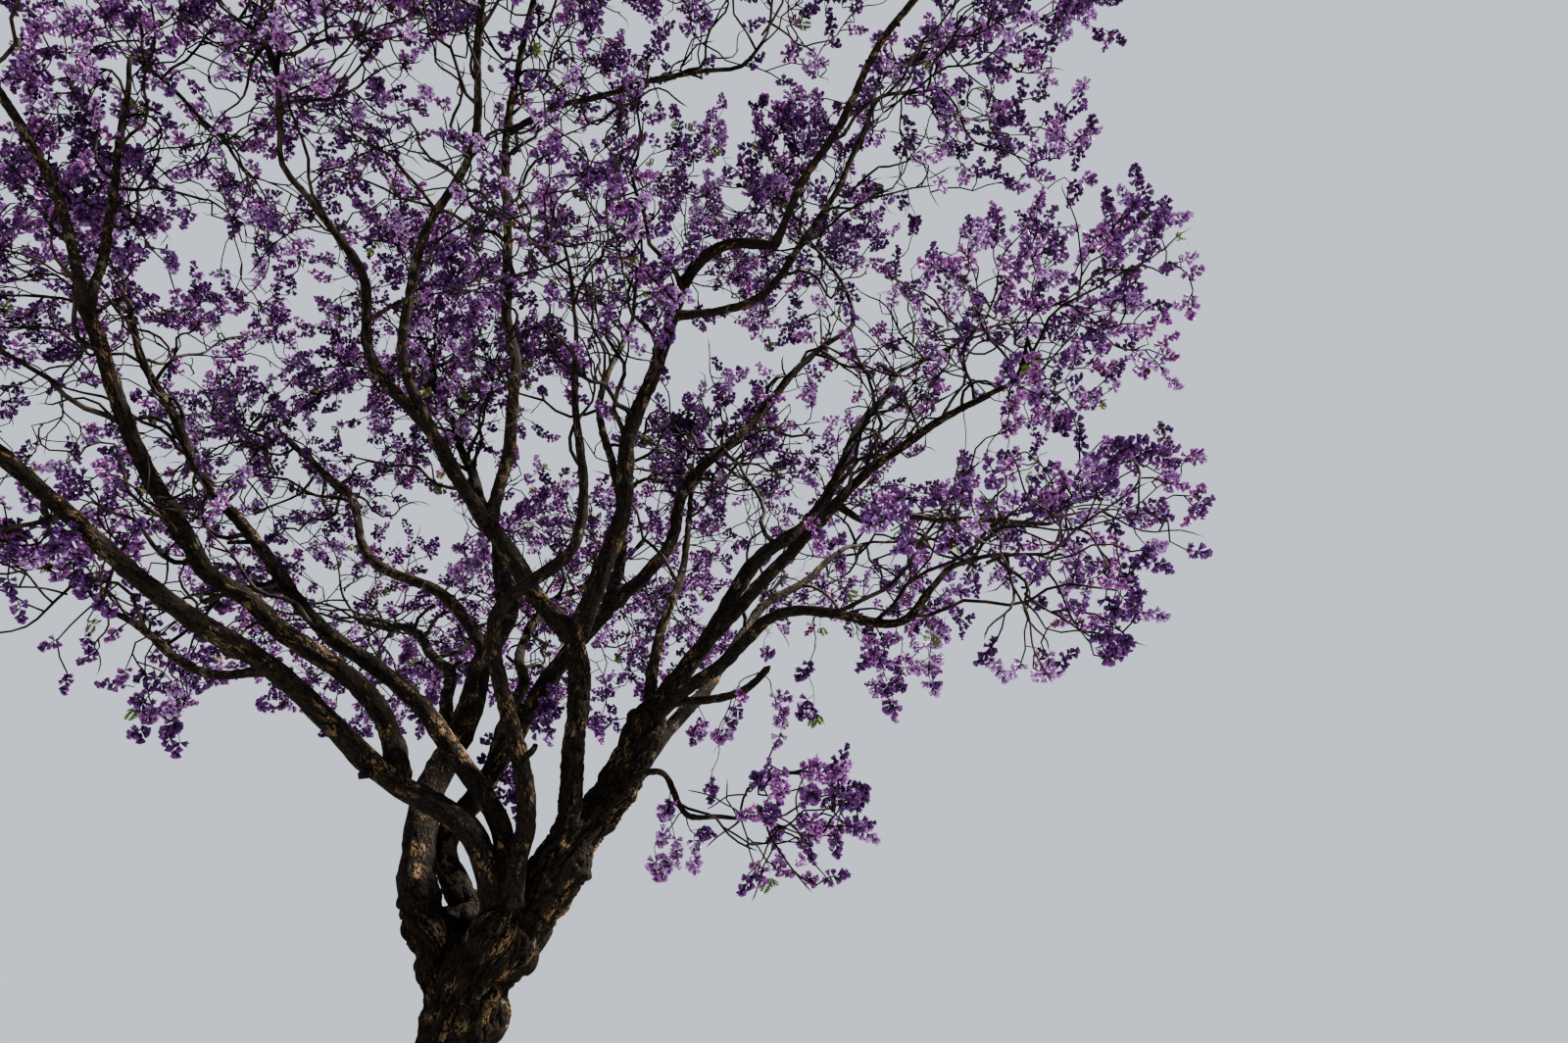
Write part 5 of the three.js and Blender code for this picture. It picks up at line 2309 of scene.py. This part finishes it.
@dataclass(frozen=True)
class Strands:
    """Long thin twigs that hang under the boughs, with sprays of blossom on short side twigs.

    Hung names the boughs and says how many hang from each. Along and twig_at are the shares of the
    bough and strand at which a strand and a side twig leave them. Girth and tip are the strand's
    radii. Where a value has two numbers, they are the least and most.
    """

    hung: tuple[tuple[str, int], ...] = (
        ("right_lower", 5), ("right_stub", 3), ("right_mid", 3), ("right_outer", 3),
        ("back_right", 5), ("back_middle", 9), ("rear", 7), ("left_low", 3), ("left_under", 3),
        ("back_left", 9), ("left_inner", 4), ("left_upright", 5), ("right_sprig", 3))
    along: Span = (0.25, 0.98)
    drop: Span = (0.3, 0.85)
    sag: float = 1.4
    aside: Span = (0.05, 0.4)
    sway: float = 0.035
    waves: Span = (6.0, 13.0)
    phases: Span = (0.0, 6.0)
    girth: float = 0.007
    tip: float = 0.003
    stations: int = 12
    twigs: int = 6
    twig_at: Span = (0.35, 0.95)
    twig_angle: Span = (0.6, 1.3)
    twig: Span = (0.05, 0.15)
    twig_droop: float = 0.5
    twig_taper: float = 0.8
    seed: int = 47

    def grow(self, limbs: dict[str, Limb], spaces: Spaces) -> tuple[Wood, Wood]:
        """Grows the strands and their side twigs.

        Args:
            limbs: All limbs by name.
            spaces: The spaces of the masses, which name the nearest one.

        Returns:
            The strands, and their side twigs with the stations of a twiglet.
        """
        random = np.random.default_rng(self.seed)
        share = np.linspace(0, 1, self.stations)[:, None]
        paths = []
        for name, count in self.hung:
            line = limbs[name].line
            for _ in range(count):
                root = line.point(random.uniform(*self.along) * line.length)
                heading = random.uniform(0, 360)
                out = toward(heading, 0) * random.uniform(*self.aside) * (1 - (1 - share)**2)
                down = UP * random.uniform(*self.drop) * share**self.sag
                waves = np.sin(share * random.uniform(*self.waves, 3) + random.uniform(*self.phases, 3))
                paths.append(root + out - down + (waves - waves[0]) * self.sway * share**0.5)
        paths = np.array(paths)
        radii = np.tile(np.linspace(self.girth, self.tip, self.stations), (len(paths), 1))
        strands = Wood(paths, radii, spaces.home(paths[:, -1]))
        parent = np.repeat(np.arange(len(paths)), self.twigs)
        at = random.uniform(*self.twig_at, len(parent))
        roots, along, _ = strands.at(parent, at)
        angle = random.uniform(*self.twig_angle, len(parent))
        ways = turned(along, angle, random.uniform(0, 2 * math.pi, len(parent)))
        halves = random.uniform(*self.twig, len(parent))[:, None] / 2
        middles = roots + ways * halves
        ends = middles + unit(ways - UP * self.twig_droop) * halves
        twig_radii = np.tile((self.tip, self.tip, self.tip * self.twig_taper), (len(parent), 1))
        twigs = Wood(np.stack([roots, middles, ends], axis=1), twig_radii, strands.mass[parent])
        return strands, twigs


@dataclass
class Crown:
    """The masses of blossom, from their stems to their flowers.

    A sway has a reach and a length. Side twigs grow on every bough but bare_bough, from its share
    bough_from on. The share bloom of the ends is in blossom, with bloom_up more at the outer, upper
    side of a mass that rises, and bloom_out more at each depth of shell under the outside of the
    crown, but never less than least. What the ends carry keeps room from the bark. Like tints, which
    are also painted shade and light on whole clumps, lie in patches as wide as patch, and patch_mix
    mixes others in.
    """

    limbs: dict[str, Limb]
    seed: int = 61
    stem_sway: Span = (0.035, 1.1)
    twig_sway: Span = (0.055, 0.8)
    twig_tip: float = 0.005
    stem_sides: int = 8
    twig_sides: int = 5
    bare_bough: str = "right_stub"
    bough_from: float = 0.25
    bough_stations: int = 40
    bloom: float = 0.5
    bloom_up: float = 0.5
    rising: float = 0.45
    shell: tuple[float, ...] = (0.4, 1.4, 3.0)
    bloom_out: tuple[float, ...] = (0.5, 0.2, -0.1)
    least: float = 0.03
    room: float = 0.06
    patch: float = 0.42
    patch_mix: float = 0.3
    leafy: float = 0.02
    leaves: int = 4
    leaf: Span = (0.06, 0.12)
    leaf_angle: Span = (0.4, 1.1)
    leaf_droop: float = 0.15
    pods: int = 260
    pod_at: Span = (0.3, 0.9)
    pod: Span = (0.085, 0.11)
    pod_sway: float = 0.35

    def __post_init__(self) -> None:
        """Prepares the spaces and the grower."""
        self.spaces = Spaces()
        self.near = Stretches(self.limbs)
        self.grower = Grower(self.spaces, self.near, self.seed)
        self.random = np.random.default_rng(self.seed + 1)

    def runners(self, stations: int = 13, overlap: float = 0.03) -> tuple[Wood, Wood]:
        """Grows the stems, twigs and shoots by the source's rule, with a sway of their own.

        Args:
            stations: Stations in each.
            overlap: How far a stem starts inside its bough.

        Returns:
            The stems, and the twigs with the shoots.
        """
        draw = seeded(self.seed)
        found: dict[bool, list[tuple[Array, Array, int]]] = {True: [], False: []}
        for index in range(len(MASSES)):
            mass = Mass(index, self.limbs, self.spaces, self.near)
            for runner in mass.grow():
                joints, sway, tip = list(runner.joints), self.twig_sway, self.twig_tip
                if runner.is_stem:
                    joints[0] = joints[0] - unit(joints[1] - joints[0]) * overlap
                    sway, tip = self.stem_sway, runner.tip
                line = Line(joints, *sway, draw)
                path = line.points(np.linspace(0, line.length, stations))
                radii = np.linspace(runner.girth, tip, stations)
                found[runner.is_stem].append((path, radii, index))
        return self.gathered(found[True]), self.gathered(found[False])

    @staticmethod
    def gathered(found: list[tuple[Array, Array, int]]) -> Wood:
        """Gathers single branches into one order."""
        paths, radii, mass = zip(*found)
        return Wood(np.array(paths), np.array(radii), np.array(mass))

    def bough_wood(self) -> Wood:
        """Gives the boughs' outer parts, which side twigs grow on.

        Returns:
            One branch for each bough.
        """
        found = []
        for sizes in BOUGHS:
            if sizes.name != self.bare_bough:
                limb = self.limbs[sizes.name]
                length = limb.line.length
                marks = np.linspace(self.bough_from * length, length, self.bough_stations)
                found.append((limb.line.points(marks), limb.radius(marks), 0))
        return self.gathered(found)

    def loads(self, tips: Array, mass: Array) -> Array:
        """Deals out what each end carries.

        Args:
            tips: The ends.
            mass: The mass of each.

        Returns:
            The value of a Load for each.
        """
        offset = (tips - self.grower.middles[mass]) / self.spaces.radii[mass][:, None]
        upper = unit(self.spaces.outward[mass] + UP)
        rising = np.clip(self.grower.lifts[mass] / self.rising, 0, 1)
        chance = self.bloom + self.bloom_up * rising * np.sum(offset * upper, axis=1)
        under = self.spaces.under_crown(tips)
        chance = np.clip(chance + np.interp(under, self.shell, self.bloom_out), self.least, 1)
        blooms = self.random.uniform(0, 1, len(tips)) < chance
        loads = np.where(blooms, Load.BLOSSOM.value, Load.BARE.value)
        in_leaf = self.random.uniform(0, 1, len(tips)) < self.leafy
        loads = np.where(in_leaf, Load.LEAVES.value, loads)
        return np.where(self.near.bare(tips, self.room), loads, Load.BARE.value)

    def build(self) -> None:
        """Builds and dresses the twigs, blossom, leaves and pods."""
        stems, twigs = self.runners()
        side_twigs = self.grower.grow(self.bough_wood(), SIDE_TWIG, from_bough=True)
        bearing = [stems, twigs, side_twigs]
        branchlets = Wood.joined([self.grower.grow(wood, BRANCHLET) for wood in bearing])
        bearing = [twigs, side_twigs, branchlets]
        sprigs = Wood.joined([self.grower.grow(wood, SPRIG) for wood in bearing])
        bearing = [branchlets, sprigs]
        twiglets = Wood.joined([self.grower.grow(wood, TWIGLET) for wood in bearing])
        log.info("%d twigs, %d side twigs, %d branchlets, %d sprigs, %d twiglets", len(twigs.mass),
                 len(side_twigs.mass), len(branchlets.mass), len(sprigs.mass), len(twiglets.mass))
        strands, hung_twigs = Strands().grow(self.limbs, self.spaces)
        wood = TwigFinish().make()
        groups = {
            "twigs": [(stems, self.stem_sides), (twigs, self.twig_sides), (side_twigs, SIDE_TWIG.sides)],
            "branchlets": [(branchlets, BRANCHLET.sides), (strands, BRANCHLET.sides)],
            "sprigs": [(sprigs, SPRIG.sides)],
            "twiglets": [(twiglets, TWIGLET.sides), (hung_twigs, TWIGLET.sides)],
        }
        for name, orders in groups.items():
            settle(tubes(name, orders), wood, Slot.BLOSSOM, MASS_NODES)
        tufts = Panicle(length=(0.05, 0.09), flowers=8)
        self.dress_ends([(branchlets, Panicle()), (sprigs, Panicle()), (twiglets, Panicle()),
                         (strands, tufts), (hung_twigs, tufts)])
        self.add_pods(twiglets)

    def tints(self, tips: Array) -> Array:
        """Deals out a tint to each spray, so that sprays near each other often share one and whole clumps
        are painted as in shade or in light.

        Args:
            tips: The ends that carry the sprays.

        Returns:
            The place of each one's tint in Tint.
        """
        rank = NOISE.at(tips / self.patch) + self.random.normal(0, self.patch_mix, len(tips))
        places = np.argsort(np.argsort(rank)) / len(tips)
        return np.searchsorted(np.cumsum(TINT_SHARES[:-1]), places)

    def dress_ends(self, orders: Sequence[tuple[Wood, Panicle]]) -> None:
        """Puts blossom and young leaves on the ends of the fine wood.

        Args:
            orders: Orders of branches, each with the sprays that it carries.
        """
        found, leaf_ends, leaf_ways = [], [], []
        for wood, panicle in orders:
            loads = self.loads(wood.tips(), wood.mass)
            blooming = wood.chosen(loads == Load.BLOSSOM.value)
            copies, is_open = panicle.dress(blooming, self.random)
            tint = self.tints(blooming.tips())
            found.append((copies, is_open, np.repeat(tint, panicle.flowers)))
            in_leaf = wood.chosen(loads == Load.LEAVES.value)
            leaf_ends.append(in_leaf.tips())
            leaf_ways.append(in_leaf.ways()[:, -1])
        shapes = {True: Shape.flower(), False: Shape.opening_flower()}
        for number, kind in enumerate(Tint):
            parts = [(shapes[state], copies.chosen((is_open == state) & (tint == number)))
                     for copies, is_open, tint in found for state in shapes]
            piece = copied(f"flowers_{kind.name.lower()}", parts, True)
            settle(piece, kind.finish().make(), Slot.BLOSSOM, MASS_NODES)
        self.add_leaves(np.concatenate(leaf_ends), np.concatenate(leaf_ways))

    def add_leaves(self, ends: Array, ways: Array) -> None:
        """Puts a tuft of young leaves on some ends.

        Args:
            ends: The ends.
            ways: The direction of each.
        """
        branch = np.repeat(np.arange(len(ends)), self.leaves)
        count = len(branch)
        spread = self.random.uniform(*self.leaf_angle, count)
        way = turned(ways[branch], spread, np.arange(count) * GOLDEN_ANGLE)
        way = unit(way - UP * self.leaf_droop)
        copies = Copies(ends[branch], way, self.random.uniform(0, 2 * math.pi, count),
                        self.random.uniform(*self.leaf, count))
        piece = copied("young_leaves", [(Shape.leaf(), copies)], False)
        settle(piece, LEAF_FINISH.make(), Slot.BLOSSOM, MASS_NODES)

    def add_pods(self, wood: Wood) -> None:
        """Hangs the pods on some branches.

        Args:
            wood: The branches.
        """
        chosen = self.random.choice(len(wood.mass), self.pods, replace=False)
        places, _, _ = wood.at(chosen, self.random.uniform(*self.pod_at, self.pods))
        ways = unit(self.random.normal(0, self.pod_sway, (self.pods, 3)) - UP)
        copies = Copies(places, ways, self.random.uniform(0, 2 * math.pi, self.pods),
                        self.random.uniform(*self.pod, self.pods))
        piece = copied("pods", [(Shape.pod(), copies)], False)
        settle(piece, POD_FINISH.make(), Slot.BLOSSOM, MASS_NODES)


@dataclass(frozen=True)
class Studio:
    """The camera at the photograph's viewing angle, soft light and a plain pale floor.

    Pitch, the key light's heading and height, and its size are in degrees, lens and sensor in
    millimetres. Tone is how the render's tones are spread.
    """

    eye: Point = (2.72, -10.0, 1.6)
    pitch: float = 25.0
    lens: float = 18.0
    sensor: float = 23.5
    far: float = 500.0
    key_from: Span = (4.0, 50.0)
    key: float = 18.0
    key_size: float = 1.5
    key_colour: Colour = (1.0, 0.94, 0.86)
    sky: Colour = (0.80, 0.87, 0.96)
    sky_light: float = 0.8
    floor_size: float = 160.0
    floor_drop: float = 0.002
    tone: str = "AgX - Medium High Contrast"

    def build(self) -> None:
        """Sets up camera, lights and floor."""
        camera = bpy.data.cameras.new("camera")
        camera.lens = self.lens
        camera.sensor_width = self.sensor
        camera.clip_end = self.far
        holder = bpy.data.objects.new("camera", camera)
        holder.location = self.eye
        holder.rotation_euler = (math.radians(90 + self.pitch), 0, 0)
        bpy.context.scene.collection.objects.link(holder)
        bpy.context.scene.camera = holder

        sun = bpy.data.lights.new("key", "SUN")
        sun.energy = self.key
        sun.angle = math.radians(self.key_size)
        sun.color = self.key_colour
        lamp = bpy.data.objects.new("key", sun)
        heading, height = (math.radians(value) for value in self.key_from)
        lamp.rotation_euler = (0, math.pi / 2 - height, heading)
        bpy.context.scene.collection.objects.link(lamp)

        world = bpy.data.worlds.new("pale_surroundings")
        world.use_nodes = True
        background = world.node_tree.nodes["Background"]
        background.inputs["Color"].default_value = (*self.sky, 1)
        background.inputs["Strength"].default_value = self.sky_light
        bpy.context.scene.world = world
        bpy.context.scene.view_settings.look = self.tone

        deselect_all()
        bpy.ops.mesh.primitive_plane_add(size=self.floor_size, location=(0, 0, -self.floor_drop))
        floor = bpy.context.object
        floor.name = "floor"
        bpy.ops.object.transform_apply(location=True, rotation=True, scale=True)
        floor.data.materials.append(PlainFinish().make())
        floor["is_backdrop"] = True


def write_sizes() -> None:
    """Measures the box of the solids and the box of the dressed tree."""
    boxes = {"cad": CAD_BOX, "visual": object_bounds()}
    plain = {name: [list(corner) for corner in box] for name, box in boxes.items()}


def main() -> None:
    """Builds the tree from its bark to its flowers, and the studio round it."""
    logging.basicConfig(level=logging.INFO, format="%(name)s: %(message)s")
    limbs = grown_limbs()
    Studio().build()
    BarkWork(limbs).build()
    Crown(limbs).build()
    write_sizes()


if __name__ == "__main__":
    main()
